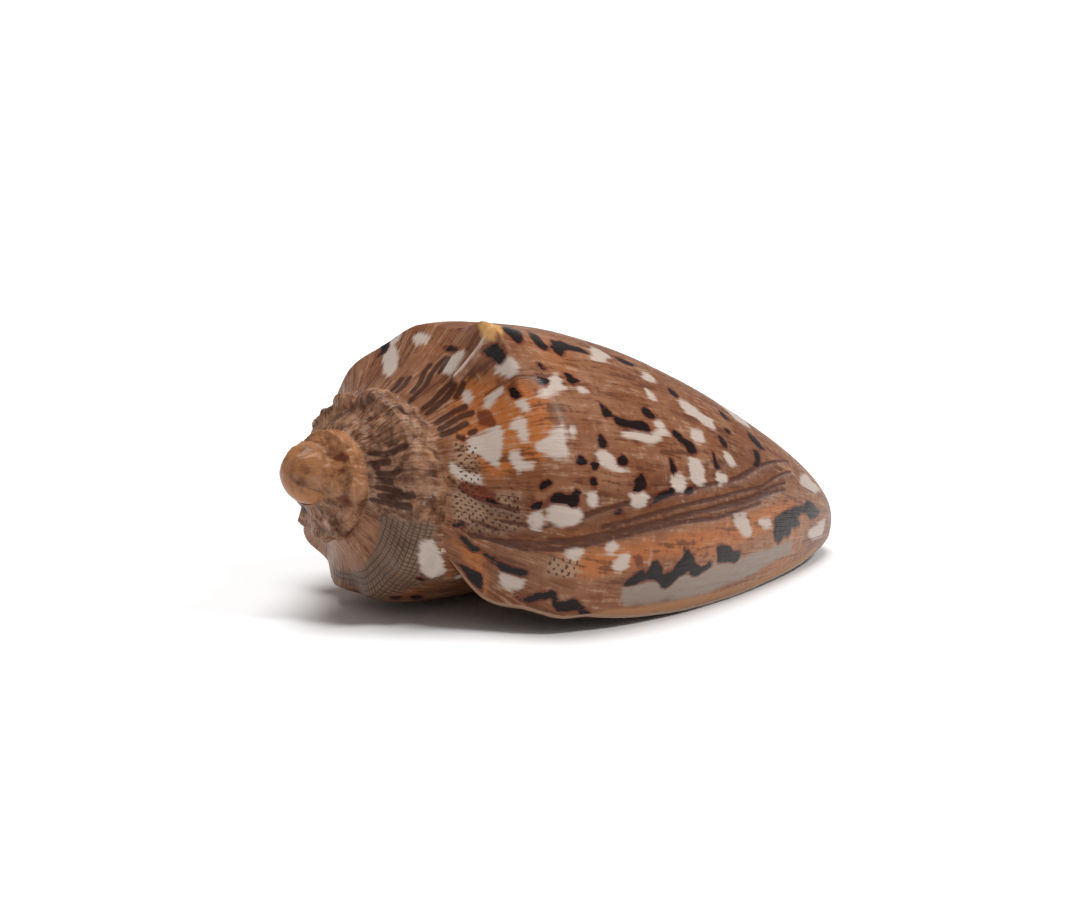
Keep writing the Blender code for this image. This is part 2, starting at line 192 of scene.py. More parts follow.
# Markings and ridges, by the pixels of the photograph at their corners; lines are open, the rest closed
DARK_BLOTCHES = (
    ((502, 326), (509, 327), (523, 341), (519, 344), (511, 338), (504, 331)),
    ((492, 344), (498, 346), (505, 352), (505, 357), (500, 364), (494, 360), (490, 356), (485, 354),
     (485, 351)),
    ((528, 331), (534, 334), (544, 344), (550, 348), (543, 350), (537, 346), (531, 338)),
    ((551, 340), (556, 342), (561, 341), (568, 345), (580, 348), (592, 355), (584, 353), (572, 350),
     (563, 350), (564, 355), (559, 356), (553, 350)),
    ((537, 363), (542, 365), (548, 369), (543, 370), (538, 366)),
    ((535, 374), (541, 377), (549, 381), (544, 386), (541, 385), (537, 380)),
    ((562, 371), (570, 375), (579, 381), (573, 385), (569, 382), (565, 376)),
    ((510, 387), (516, 390), (522, 395), (516, 399), (512, 397), (510, 392)),
    ((444, 347), (451, 346), (459, 348), (456, 351), (448, 351)),
    ((539, 487), (543, 481), (550, 480), (552, 483), (547, 488), (541, 489)),
    ((550, 499), (553, 494), (558, 492), (566, 495), (573, 494), (577, 489), (580, 492), (579, 500),
     (576, 506), (572, 507), (566, 503), (556, 503), (551, 504)),
    ((530, 507), (535, 503), (542, 501), (543, 504), (538, 509), (532, 510)),
    ((590, 478), (596, 478), (597, 484), (594, 489), (591, 485)),
    ((577, 457), (581, 455), (587, 461), (583, 466), (577, 463)),
    ((591, 466), (594, 461), (598, 464), (597, 469), (593, 470)),
    ((486, 498), (495, 500), (499, 503), (493, 504), (488, 501)),
    ((453, 526), (456, 523), (461, 521), (466, 524), (465, 527), (459, 526), (455, 528)),
    ((458, 534), (464, 536), (469, 541), (475, 547), (473, 551), (468, 547), (462, 541)),
    ((478, 547), (481, 549), (480, 552), (477, 550)),
    ((483, 551), (488, 555), (492, 558), (488, 558), (484, 555)),
    ((492, 556), (497, 559), (495, 564), (491, 562)),
    ((499, 561), (505, 564), (512, 567), (520, 569), (528, 571), (527, 575), (520, 576), (510, 573),
     (501, 570), (498, 566)),
    ((456, 562), (462, 568), (468, 577), (475, 585), (482, 591), (476, 591), (469, 586), (462, 578),
     (457, 570)),
    ((510, 605), (520, 600), (530, 596), (540, 593), (550, 592), (552, 590), (556, 592), (557, 600),
     (564, 603), (569, 600), (574, 598), (581, 605), (590, 613), (592, 615), (584, 615), (578, 610),
     (567, 611), (558, 610), (553, 605), (554, 600), (550, 597), (540, 599), (528, 603), (516, 607)),
    ((594, 617), (603, 617), (612, 620), (603, 621)),
    ((600, 402), (604, 406), (609, 410), (612, 415), (608, 418), (604, 417), (602, 411)),
    ((611, 414), (619, 418), (630, 421), (642, 421), (647, 424), (652, 431), (646, 431), (638, 430),
     (628, 427), (621, 427), (617, 424)),
    ((641, 405), (646, 408), (652, 413), (656, 418), (650, 419), (645, 416), (642, 411)),
    ((597, 436), (601, 434), (605, 439), (608, 446), (603, 448), (598, 446), (598, 441)),
    ((618, 459), (621, 454), (625, 457), (629, 462), (624, 466), (619, 465)),
    ((633, 490), (635, 482), (638, 475), (643, 474), (646, 482), (648, 490), (641, 489), (636, 494)),
    ((669, 457), (674, 461), (676, 469), (674, 475), (671, 471), (670, 463)),
    ((670, 429), (676, 431), (684, 438), (693, 444), (697, 452), (694, 454), (689, 453), (686, 447),
     (680, 441), (674, 437)),
    ((667, 387), (671, 389), (678, 395), (677, 398), (672, 395), (669, 391)),
    ((719, 410), (725, 415), (730, 420), (726, 420), (721, 415)),
    ((724, 428), (728, 429), (731, 434), (728, 434), (725, 431)),
    ((718, 435), (722, 438), (726, 442), (728, 448), (724, 448), (720, 442)),
    ((712, 452), (715, 455), (717, 461), (720, 468), (716, 470), (714, 463)),
    ((614, 356), (622, 359), (633, 364), (636, 366), (628, 365), (619, 361)),
    ((747, 431), (752, 435), (758, 441), (762, 447), (765, 450), (760, 449), (754, 443), (749, 437)),
    ((753, 449), (758, 452), (760, 458), (759, 464), (755, 468), (752, 466), (756, 461), (754, 455)),
    ((652, 500), (655, 495), (663, 492), (672, 489), (674, 493), (671, 496), (663, 499), (655, 502),
     (649, 506)),
    ((683, 493), (687, 488), (689, 485), (692, 489), (691, 493), (686, 495)),
    ((613, 512), (618, 509), (623, 510), (624, 513), (619, 515), (614, 514)),
    ((622, 584), (628, 580), (634, 575), (639, 571), (644, 570), (645, 574), (650, 569), (653, 562),
     (657, 561), (661, 566), (663, 575), (668, 573), (673, 571), (676, 565), (681, 560), (684, 555),
     (684, 548), (688, 550), (692, 555), (695, 562), (700, 568), (706, 566), (710, 560), (712, 563),
     (709, 568), (702, 572), (697, 576), (692, 575), (688, 571), (681, 574), (675, 579), (671, 585),
     (665, 588), (660, 586), (659, 581), (651, 579), (642, 581), (633, 584), (626, 586)),
    ((716, 546), (723, 545), (730, 547), (734, 552), (741, 551), (740, 557), (735, 563), (730, 561),
     (724, 562), (717, 562), (718, 554)),
    ((774, 519), (778, 518), (783, 513), (790, 509), (797, 507), (804, 506), (808, 501), (813, 504),
     (817, 510), (820, 511), (816, 517), (810, 519), (806, 513), (800, 513), (797, 518), (800, 524),
     (795, 528), (790, 526), (791, 533), (787, 537), (783, 536), (778, 543), (775, 539), (773, 532),
     (775, 527)),
    ((390, 596), (402, 596), (400, 599), (392, 599)),
    ((409, 596), (416, 594), (423, 597), (417, 600)),
    ((416, 578), (422, 577), (428, 580), (421, 581)),
)
BROWN_BLOTCHES = (
    ((477, 410), (489, 411), (498, 425), (490, 428), (478, 425)),
    ((632, 556), (637, 553), (643, 559), (644, 566), (638, 570), (634, 563)),
    ((496, 378), (501, 380), (500, 384), (496, 384)),
    ((727, 479), (731, 478), (733, 482), (730, 486), (727, 484)),
    ((741, 476), (744, 475), (745, 479), (742, 480)),
    ((333, 457), (342, 452), (348, 456), (344, 462), (336, 461)),
    ((337, 470), (344, 468), (347, 472), (340, 475)),
    ((335, 497), (345, 494), (353, 500), (346, 504), (337, 501)),
    ((460, 480), (478, 484), (494, 492), (497, 500), (486, 502), (470, 496), (459, 489)),
)
PALE_TENTS = (
    ((468, 437), (480, 434), (490, 430), (497, 426), (503, 432), (500, 445), (501, 455), (497, 467),
     (490, 463), (478, 455), (468, 452)),
    ((513, 422), (520, 417), (526, 420), (527, 440), (522, 440), (516, 430), (510, 427)),
    ((536, 445), (545, 440), (555, 428), (562, 424), (565, 430), (566, 445), (568, 452), (566, 458),
     (556, 457), (545, 453), (538, 449)),
    ((569, 425), (575, 425), (577, 434), (573, 437), (569, 431)),
    ((493, 393), (502, 387), (504, 391), (497, 399), (488, 408), (482, 407), (486, 399)),
    ((515, 401), (524, 399), (529, 405), (530, 413), (523, 410), (516, 405)),
    ((498, 363), (504, 362), (512, 358), (517, 365), (517, 373), (510, 378), (503, 375), (496, 372)),
    ((549, 376), (557, 374), (561, 379), (561, 385), (567, 388), (557, 392), (545, 396), (535, 396),
     (540, 391), (549, 388)),
    ((463, 392), (469, 392), (473, 398), (470, 403), (463, 402)),
    ((575, 386), (583, 385), (588, 392), (582, 392)),
    ((511, 452), (520, 450), (522, 458), (527, 462), (534, 463), (533, 470), (524, 470), (518, 475),
     (513, 466), (508, 460)),
    ((530, 512), (541, 510), (545, 520), (541, 530), (533, 530), (529, 522)),
    ((551, 506), (558, 503), (570, 506), (577, 508), (582, 513), (580, 522), (572, 527), (560, 529),
     (552, 524), (548, 514)),
    ((588, 493), (596, 491), (597, 503), (592, 507), (588, 501)),
    ((565, 552), (575, 549), (583, 549), (581, 556), (575, 559), (568, 557)),
    ((450, 462), (458, 467), (470, 473), (480, 476), (482, 482), (470, 484), (458, 478), (450, 470)),
    ((500, 572), (515, 577), (525, 580), (520, 590), (508, 590), (500, 583)),
    ((596, 452), (604, 449), (612, 455), (618, 466), (629, 469), (620, 472), (608, 466), (598, 462)),
    ((622, 434), (632, 430), (640, 432), (650, 434), (665, 430), (661, 440), (650, 444), (637, 440),
     (626, 438)),
    ((654, 421), (660, 420), (668, 430), (672, 436), (664, 434), (657, 428)),
    ((630, 495), (640, 490), (650, 496), (645, 505), (637, 508), (631, 503)),
    ((672, 476), (680, 474), (686, 482), (682, 492), (674, 492), (671, 484)),
    ((690, 458), (698, 460), (705, 470), (704, 482), (697, 488), (691, 478), (689, 466)),
    ((680, 400), (690, 404), (700, 412), (712, 420), (715, 430), (707, 427), (697, 418), (686, 412),
     (680, 406)),
    ((692, 430), (702, 432), (704, 440), (697, 442), (691, 437)),
    ((717, 470), (726, 475), (726, 483), (718, 486), (715, 478)),
    ((724, 450), (730, 455), (736, 465), (731, 468), (725, 458)),
    ((641, 372), (650, 374), (658, 383), (650, 382), (643, 378)),
    ((645, 388), (655, 396), (655, 402), (648, 396)),
    ((590, 346), (600, 350), (612, 358), (600, 362), (592, 360)),
    ((733, 516), (745, 512), (748, 520), (752, 532), (748, 537), (741, 532), (735, 524)),
    ((613, 563), (622, 556), (630, 553), (628, 566), (622, 572), (615, 570)),
    ((605, 545), (612, 540), (618, 546), (612, 553), (606, 551)),
    ((760, 520), (770, 518), (772, 526), (765, 528), (758, 524)),
    ((800, 476), (806, 474), (812, 482), (820, 490), (815, 493), (806, 488), (800, 484)),
    ((815, 525), (825, 520), (822, 535), (812, 540), (808, 533)),
    ((413, 337), (420, 333), (428, 337), (426, 343), (416, 344)),
    ((385, 350), (392, 345), (398, 352), (396, 368), (390, 376), (383, 372), (383, 360)),
    ((445, 360), (458, 352), (466, 352), (460, 362), (450, 375), (443, 372)),
    ((420, 542), (432, 540), (446, 544), (450, 556), (446, 572), (434, 577), (422, 572), (419, 556)),
)
DARK_LINES = (
    ((400, 402), (412, 392), (420, 383), (424, 372), (430, 365)),
    ((410, 401), (418, 393), (426, 385), (431, 374), (437, 366), (445, 358)),
    ((424, 408), (434, 400), (441, 392), (448, 386), (452, 382)),
    ((428, 413), (438, 405), (447, 397), (452, 391), (454, 385)),
    ((436, 423), (446, 417), (455, 411), (465, 407)),
    ((440, 429), (450, 423), (458, 418), (466, 415), (472, 413)),
    ((442, 435), (450, 432), (458, 428), (466, 424)),
    ((398, 391), (404, 386), (409, 378)),
    ((392, 390), (397, 386), (401, 379)),
    ((456, 397), (461, 390), (463, 384)),
    ((440, 372), (444, 365), (449, 358)),
    ((370, 453), (385, 455), (395, 451), (405, 446)),
    ((375, 463), (388, 462)),
    ((378, 473), (392, 474), (398, 470)),
    ((379, 480), (390, 482)),
    ((378, 487), (390, 490), (400, 492)),
    ((380, 496), (395, 497), (412, 495)),
    ((372, 500), (390, 503), (410, 507)),
    ((398, 408), (405, 412)),
    ((412, 407), (421, 413)),
    ((434, 437), (438, 443)),
    ((459, 437), (463, 439)),
    ((470, 433), (475, 431)),
    ((371, 463), (377, 468)),
)
GROWTH_RESTS = (
    ((448, 476), (462, 490), (485, 502), (520, 511)),
    ((446, 500), (470, 519), (500, 531)),
    ((460, 530), (520, 548), (560, 549), (600, 541), (640, 531), (680, 522), (720, 517), (760, 503)),
    ((470, 536), (520, 541), (570, 541), (620, 532), (680, 515), (740, 504), (784, 490)),
    ((560, 517), (620, 505), (680, 492), (740, 478), (788, 462)),
    ((600, 527), (640, 517), (680, 506), (720, 497), (760, 487), (790, 472)),
    ((500, 520), (540, 527), (600, 510), (640, 499), (680, 489), (730, 481), (780, 462)),
    ((545, 540), (600, 534), (650, 523), (700, 511), (750, 497), (785, 483)),
)
# Net zone on the underside by the aperture: its net of fine lines is the shell's pattern, and its darker
# grey-brown ground is partly painted shade of the underside
NET_AND_SHADE_ZONES = (
    ((306, 512), (335, 506), (380, 514), (430, 520), (444, 536), (450, 556), (442, 580), (400, 592),
     (350, 585), (322, 565), (306, 540)),
)
CROWN_ZONES = (
    ((478, 324), (490, 317), (501, 325), (503, 334), (494, 342), (482, 336)),
)
REST_BANDS = (
    ((458, 484), (492, 500), (545, 503), (600, 490), (640, 480), (680, 470), (720, 460), (760, 450),
     (784, 446), (796, 478), (760, 503), (720, 517), (680, 524), (640, 533), (600, 543), (560, 551),
     (520, 550), (480, 536), (460, 528), (490, 515)),
)
# The crest line runs from the crown nodule's tip down its ridge towards the suture; it is raised as a ridge,
# and a pale painted highlight is laid along it
CREST_RIDGE_AND_HIGHLIGHT_LINES = (
    ((492, 330), (484, 345), (472, 360), (457, 377)),
)
ORANGE_ZONES = (
    ((560, 556), (620, 548), (680, 536), (740, 522), (790, 502), (796, 518), (740, 540), (680, 556),
     (620, 568), (566, 574)),
    ((458, 384), (500, 384), (545, 392), (552, 430), (530, 466), (490, 478), (462, 452), (450, 420)),
    ((452, 540), (480, 552), (484, 590), (462, 596), (448, 580)),
)
LIP_LINES = (
    ((560, 619), (600, 618), (650, 610), (700, 600), (760, 582), (800, 562), (815, 549)),
)
CREAM_ZONES = (
    ((452, 492), (520, 494), (524, 530), (486, 536), (452, 528)),
    ((452, 440), (478, 446), (480, 506), (456, 508)),
    ((548, 556), (580, 556), (576, 578), (545, 576)),
)
ASHEN_ZONES = (
    ((622, 584), (700, 568), (760, 552), (792, 540), (792, 552), (740, 580), (690, 598), (622, 604)),
)

# Kinds of mark by the name of their attribute
OUTLINES = {
    "dark": DARK_BLOTCHES, "brown": BROWN_BLOTCHES, "pale": PALE_TENTS, "net": NET_AND_SHADE_ZONES,
    "orange": ORANGE_ZONES, "cream": CREAM_ZONES, "ashen": ASHEN_ZONES, "crown": CROWN_ZONES,
    "band": REST_BANDS,
}
LINES = {"lines": DARK_LINES, "rests": GROWTH_RESTS, "crest": CREST_RIDGE_AND_HIGHLIGHT_LINES, "lip": LIP_LINES}

# Marks: how far from a mark's edge its depth is kept, how near a sighted point lies to a seen one in
# metres, and how many turns apart the corners of one mark may be
MARK_REACH = 2.5
SEEN_WITHIN = 0.8 * MM
SAME_WHORL = 0.35

# Scattered marks: how many are tried, their spacing, where they lie, the distance from the axis at which
# they are full size, and the shares of single ones
MARK_SEED = 11
MARK_TRIES = 14000
MARK_SPACING = 4.5
OLDEST_MARKED_TURN = -2.0
YOUNGEST_MARKED_TURN = -0.02
HIGHEST_MARK = -12.0
FULL_SIZE_RADIUS = 12.0
ALONE_SHARE = 0.45
DARK_ALONE_SHARE = 0.25

# Net of fine lines by the aperture and dots near the suture: their steps across and their number in a turn
NET_STEP = 0.75
NET_SPOKES = 150.0
DOT_STEP = 1.0
DOTS_PER_TURN = 110.0

# Noises of the finishes by their cells in a metre, the factor that spreads a noise to about -1 to 1, and
# the depth of the finest relief in metres
BROAD_SCALE = 55.0
CLOUD_SCALE = 120.0
BLOTCH_SCALE = 260.0
MOTTLE_SCALE = 520.0
FINE_SCALE = 900.0
NOISE_SPREAD = 2.6
BUMP_DEPTH = 0.2 * MM

# Growth striae by their number in a turn, and their breaks in a millimetre across
FINE_STRIAE = (260.0, 0.16)
SLOW_STRIAE = (60.0, 0.07)
BROKEN_STRIAE = (120.0, 0.9)
SPIRAL_CORDS = (11.0, 0.42)
ENAMEL_STRIAE = (90.0, 0.1)

# Turns at which the spire's finish and the apex's begin, where the striae fade out, and between which
# the spire is rough
SPIRE_TURN = -0.98
APEX_TURN = -1.9
STRIAE_TURN = -2.1
ROUGH_TURN = -0.96
ROUGH_END_TURN = -2.9

# Colours in linear light
GROUND_BROWN = (0.18, 0.058, 0.021)
GROUND_PINK = (0.32, 0.155, 0.082)
GROUND_ORANGE = (0.40, 0.125, 0.032)
SPIRE_BROWN = (0.07, 0.024, 0.012)
SPIRE_PINK = (0.33, 0.165, 0.09)
APEX_ORANGE = (0.34, 0.14, 0.052)
SPIRE_PALE = (0.46, 0.34, 0.265)
# Painted highlight laid along the crown nodule's crest
PAINTED_CREST_HIGHLIGHT = (0.72, 0.56, 0.47)
REST_LINE = (0.07, 0.02, 0.009)
CREAM_GROUND = (0.36, 0.23, 0.15)
ASHEN_GROUND = (0.265, 0.215, 0.18)
CROWN_YELLOW = (0.62, 0.33, 0.11)
REST_BROWN = (0.11, 0.032, 0.013)
STRIA_PALE = (0.40, 0.235, 0.15)
STRIA_DARK = (0.085, 0.025, 0.011)
LINE_BROWN = (0.045, 0.013, 0.007)
# Ground of the net zone, partly the shell's grey-brown and partly painted shade of the underside
NET_GROUND_AND_SHADE = (0.17, 0.105, 0.07)
NET_DARK = (0.045, 0.022, 0.014)
PALE_TENT = (0.52, 0.425, 0.365)
LIP_TAN = (0.36, 0.17, 0.075)
BROWN_MARK = (0.12, 0.022, 0.008)
DARK_MARK = (0.010, 0.003, 0.003)
LIP_CREAM = (0.34, 0.20, 0.12)
LIP_DEEP = (0.26, 0.11, 0.05)
INSIDE_CREAM = (0.55, 0.42, 0.33)
INSIDE_DEEP = (0.45, 0.26, 0.16)

# Inputs of the two node trees: heights and radii are in metres, and the widths of ridge and crest are in
# millimetres along the surface
WINDING_INPUTS = {
    "Lip Radius": LIP_RADIUS * MM,
    "Radius Growth": RADIUS_GROWTH,
    "Pole Height": POLE_HEIGHT * MM,
    "Lip Depth": LIP_DEPTH * MM,
    "Depth Growth": DEPTH_GROWTH,
    "Nodule Rise": NODULE_RISE,
    "Nodule Width": NODULE_WIDTH,
    "Spire Nodule Step": SPIRE_NODULE_STEP,
    "Spire Nodule Height": SPIRE_NODULE_HEIGHT,
    "Nodule Fade Turn": NODULE_FADE_TURN,
    "Growth Line Height": 0.07 * MM,
    "Growth Lines per Turn": 110.0,
    "Growth Line Breaks": 1.2,
    "Seed": 4.0,
}
RELIEF_INPUTS = {
    "Ridge Height": 0.24 * MM,
    "Ridge Width": 0.42,
    "Blotch Height": 0.03 * MM,
    "Crest Height": 0.8 * MM,
    "Crest Width": 0.55,
    "Spire Roughness": 1.0 * MM,
    "Grain Scale": 430.0,
    "Seed": 0.0,
}


def smooth(x):
    """Smooth step from 0 to 1."""
    x = np.clip(x, 0.0, 1.0)
    return x * x * (3.0 - 2.0 * x)


def curve_through(xs, ys, x):
    """Monotone cubic curve through a few points of an outline."""
    xs = np.asarray(xs, float)
    ys = np.asarray(ys, float)
    x = np.clip(np.asarray(x, float), xs[0], xs[-1])
    width = np.diff(xs)
    slope = np.diff(ys) / width
    tangent = np.zeros_like(ys)
    tangent[0] = slope[0]
    tangent[-1] = slope[-1]
    same = slope[:-1] * slope[1:] > 0.0
    blend = 2.0 * slope[:-1] * slope[1:] / np.where(same, slope[:-1] + slope[1:], 1.0)
    tangent[1:-1] = np.where(same, blend, 0.0)
    i = np.clip(np.searchsorted(xs, x, side="right") - 1, 0, len(xs) - 2)
    u = (x - xs[i]) / width[i]
    start = ys[i] * (1.0 + 2.0 * u) * (1.0 - u) ** 2 + tangent[i] * width[i] * u * (1.0 - u) ** 2
    end = ys[i + 1] * u * u * (3.0 - 2.0 * u) + tangent[i + 1] * width[i] * u * u * (u - 1.0)
    return start + end


def shoulder_radius(turn):
    return LIP_RADIUS * np.exp(RADIUS_GROWTH * turn)


def shoulder_height(turn):
    return POLE_HEIGHT - LIP_DEPTH * np.exp(DEPTH_GROWTH * turn)


def shoulder_inset(turn, level):
    """How far the shoulder is drawn in: spire whorls carry it a little inside their widest line."""
    on_spire = SPIRE_INSET * smooth((SPIRE_INSET_START - turn) / SPIRE_INSET_BLEND)
    return on_spire * np.exp(-(level / SPIRE_INSET_REACH))


def flank_share(turn, level):
    """Radius of the flank as a share of the shoulder radius; older flanks turn into the columella."""
    body = curve_through(FLANK_LEVELS, FLANK_RADII, level)
    inner = curve_through(FLANK_LEVELS, COLUMELLA_RADII, level)
    inward = smooth((COLUMELLA_START - turn) / COLUMELLA_BLEND)
    swell = np.exp(-(((turn - SWELL_TURN) / SWELL_WIDTH) ** 2)) * np.exp(-(level / SWELL_REACH))
    return body * (1.0 - inward) + inner * inward - shoulder_inset(turn, level) + SWELL_SHARE * swell


def plain_flank(turn, level):
    """Radius and height of the flank at a turn and level."""
    return shoulder_radius(turn) * flank_share(turn, level), shoulder_height(turn) * (1.0 - level)


def drop_level(turn):
    """Level on the flank at which the next whorl's suture lies."""
    return SUTURE_DROP * shoulder_radius(turn) / shoulder_height(turn)


def level_at(turn, course):
    """Level on the flank of a course from 1 to 3."""
    band = np.clip(course - 1.0, 0.0, 1.0)
    rest = np.clip(course - 2.0, 0.0, 1.0)
    return drop_level(turn) * band + (1.0 - drop_level(turn)) * rest


def cornered(turn, course):
    """Radius and height of the whorl at a turn and course, with a sharp shoulder."""
    older = np.maximum(turn - 1.0, FIRST_TURN)
    suture_r, suture_z = plain_flank(older, drop_level(older))
    shoulder_r, shoulder_z = plain_flank(turn, 0.0 * turn)
    share = np.clip(course, 0.0, 1.0)
    hollow = RAMP_HOLLOW * shoulder_radius(turn) * np.sin(math.pi * share)
    ramp_r = suture_r + (shoulder_r - suture_r) * share
    ramp_z = suture_z + (shoulder_z - suture_z) * share - hollow
    flank_r, flank_z = plain_flank(turn, level_at(turn, course))
    on_ramp = course < 1.0
    r = np.where(on_ramp, ramp_r, flank_r)
    z = np.where(on_ramp, ramp_z, flank_z)
    born = np.sqrt(np.clip((turn - FIRST_TURN) / BIRTH_TURNS, 0.0, 1.0))
    born = np.where(turn < FIRST_TURN + 1.0, born, 1.0)
    return suture_r + (r - suture_r) * born, suture_z + (z - suture_z) * born


def section(turn, course):
    """Radius and height of the whorl with its rounded shoulder, before it gets its nodules."""
    turn = np.asarray(turn, float)
    course = np.asarray(course, float)
    sharp = cornered(turn, course)
    above = cornered(turn, 1.0 - ROUNDING_REACH + 0.0 * course)
    below = cornered(turn, 1.0 + ROUNDING_REACH + 0.0 * course)
    corner = cornered(turn, 1.0 + 0.0 * course)
    u = np.clip((course - 1.0 + ROUNDING_REACH) / (2.0 * ROUNDING_REACH), 0.0, 1.0)
    amount = OLDER_ROUNDING + (1.0 - OLDER_ROUNDING) * smooth((turn - ROUNDING_START) / ROUNDING_BLEND)
    amount = amount * (np.abs(course - 1.0) < ROUNDING_REACH)
    rounded = []
    for flat, start, middle, end in zip(sharp, above, corner, below):
        arc = (1.0 - u) ** 2 * start + 2.0 * u * (1.0 - u) * middle + u * u * end
        rounded.append(flat + (arc - flat) * amount)
    return rounded


def nodule_reach(turn, course):
    """How much of a nodule's height reaches a course: all at the shoulder, little down the flank."""
    covered = smooth((course - NODULE_COVER_COURSE) / (2.0 - NODULE_COVER_COURSE)) * (turn < -1.0)
    flank = np.exp(-(level_at(turn, course) / NODULE_REACH)) * (1.0 - covered)
    return np.where(course < 1.0, np.clip(course, 0.0, 1.0) ** NODULE_RAMP_POWER, flank)


def callus_rise(turn, course):
    """Height of the callus pad in millimetres."""
    along = (turn - CALLUS_TURN) / CALLUS_WIDTH
    across = (course - CALLUS_COURSE) / CALLUS_SPREAD
    return CALLUS_HEIGHT * np.exp(-(along * along) - across * across)


def lip_turn(turn, course):
    """Turn of a column, drawn forward or back near the lip so that the lip has its own outline."""
    advance = curve_through(LIP_COURSES, LIP_ADVANCES, course)
    return turn + advance * smooth((turn + LIP_BLEND) / LIP_BLEND)


def drawn_section(turn, course):
    """Section of a column, with the lip's own outline and its rounded shoulder."""
    drawn = lip_turn(turn, course)
    r, z = section(drawn, course)
    near_lip = smooth((turn + LIP_ROUNDING_TURNS) / LIP_ROUNDING_TURNS)
    rounding = LIP_ROUNDING * near_lip * np.exp(-((course - 1.0) / LIP_ROUNDING_SPREAD) ** 2)
    return drawn, r - rounding + callus_rise(turn, course), z - LIP_ROUNDING_DROP * rounding


def wound(turn, r, z):
    """Points in the shell's own axes, apex on top and lip at azimuth 0."""
    angle = -2.0 * math.pi * turn
    return np.stack([r * np.cos(angle), r * np.sin(angle), z + 0.0 * r], axis=-1)


def unwound(points, near):
    """Strip coordinates of points in the shell's axes, at the turn nearest to the one named."""
    turn = -np.arctan2(points[..., 1], points[..., 0]) / (2.0 * math.pi)
    turn = turn + np.round(near - turn)
    r = np.hypot(points[..., 0], points[..., 1])
    turn = np.where(r < 1e-6, near, turn)
    return np.stack([turn, r / shoulder_radius(turn), points[..., 2] / shoulder_height(turn)], axis=-1)


def front_share(depth):
    """How far down towards the front end the inner space reaches, a depth in turns behind the lip."""
    return 1.0 - smooth(depth / CAVITY_BLEND) * (1.0 - CAVITY_FRONT)


def inner_points(depth, course, thickness):
    """Inside of the outer wall, a depth in turns behind the lip."""
    turn = -depth
    back = smooth(depth / CAVITY_BLEND)
    closing = smooth(2.0 * depth / CAVITY_TURNS - 1.0)
    gap = back * CAVITY_SUTURE_GAP + (CAVITY_END_GAP - CAVITY_SUTURE_GAP) * closing
    squeezed = np.where(course < 1.0, course + gap * (1.0 - course), course)
    squeezed = np.where(course > 2.0, 2.0 + (course - 2.0) * front_share(depth), squeezed)
    drawn, r, z = drawn_section(turn, squeezed)
    _, r_next, z_next = drawn_section(turn, np.minimum(squeezed + SLOPE_STEP, 3.0))
    _, r_last, z_last = drawn_section(turn, np.maximum(squeezed - SLOPE_STEP, 0.0))
    along_r = r_next - r_last
    along_z = z_next - z_last
    length = np.hypot(along_r, along_z) + 1e-9
    return wound(drawn, r + thickness * along_z / length, z - thickness * along_r / length)


def columella_points(depth, course):
    """Wall of the older whorl and the columella, seen from inside, a depth behind the lip."""
    turn = -1.0 - depth
    level = drop_level(turn) + (1.0 - drop_level(turn)) * (course - 2.0) * front_share(depth)
    inner = curve_through(FLANK_LEVELS, COLUMELLA_RADII, level)
    r = shoulder_radius(turn) * (inner - shoulder_inset(turn, level))
    for plait in PLAIT_LEVELS:
        away = (level - plait + PLAIT_CLIMB * depth) / PLAIT_WIDTH
        r = r + PLAIT_HEIGHT * smooth(depth / PLAIT_START) * np.exp(-away * away)
    return wound(turn, r, shoulder_height(turn) * (1.0 - level))


class Strip:
    """Points, faces and growth coordinates of the one closed skin, before it is wound up."""

    def __init__(self):
        self.points = []
        self.marks = []
        self.count = 0
        self.faces = []
        self.growth = []
        self.slots = []

    def add(self, points, reach=0.0, relief=0.0, across=0.0):
        """Adds points and returns their numbers, in the shape that the points came in."""
        shape = points.shape[:-1]
        number = int(np.prod(shape))
        self.points.append(points.reshape(-1, 3))
        marks = [np.broadcast_to(mark, shape).reshape(-1) for mark in (reach, relief, across)]
        self.marks.append(np.stack(marks, axis=-1))
        self.count += number
        return np.arange(self.count - number, self.count).reshape(shape)

    def patch(self, numbers, turns, across, slot):
        """Faces of a grid of points that is numbered by growth column and by row across the strip."""
        cut = ((slice(1, None), slice(None, -1)), (slice(1, None), slice(1, None)),
               (slice(None, -1), slice(1, None)), (slice(None, -1), slice(None, -1)))
        grids = [np.broadcast_to(grid, numbers.shape) for grid in (turns, across)]
        growth = np.stack(grids, axis=-1)
        corners = np.stack([numbers[c] for c in cut], axis=-1).reshape(-1, 4)
        corner_growth = np.stack([growth[c] for c in cut], axis=-2).reshape(-1, 4, 2)
        for quad, place in zip(corners.tolist(), corner_growth):
            kept = [k for k in range(4) if quad[k] not in quad[:k]]
            if len(kept) > 2:
                self.faces.append([quad[k] for k in kept])
                self.growth.append(place[kept])
                self.slots.append(slot)


def distance_across(turns, courses):
    """Millimetres along the section from the shoulder, negative on the ramp, for a grid of courses."""
    fine = np.linspace(0.0, 3.0, 301)
    r, z = section(turns[:, None], fine[None, :])
    steps = np.hypot(np.diff(r, axis=1), np.diff(z, axis=1))
    length = np.concatenate([np.zeros((len(turns), 1)), np.cumsum(steps, axis=1)], axis=1)
    rows = [np.interp(courses, fine, line - line[100]) for line in length]
    return np.stack(rows)


OUTSIDE, LIP_RIM, INSIDE = range(3)


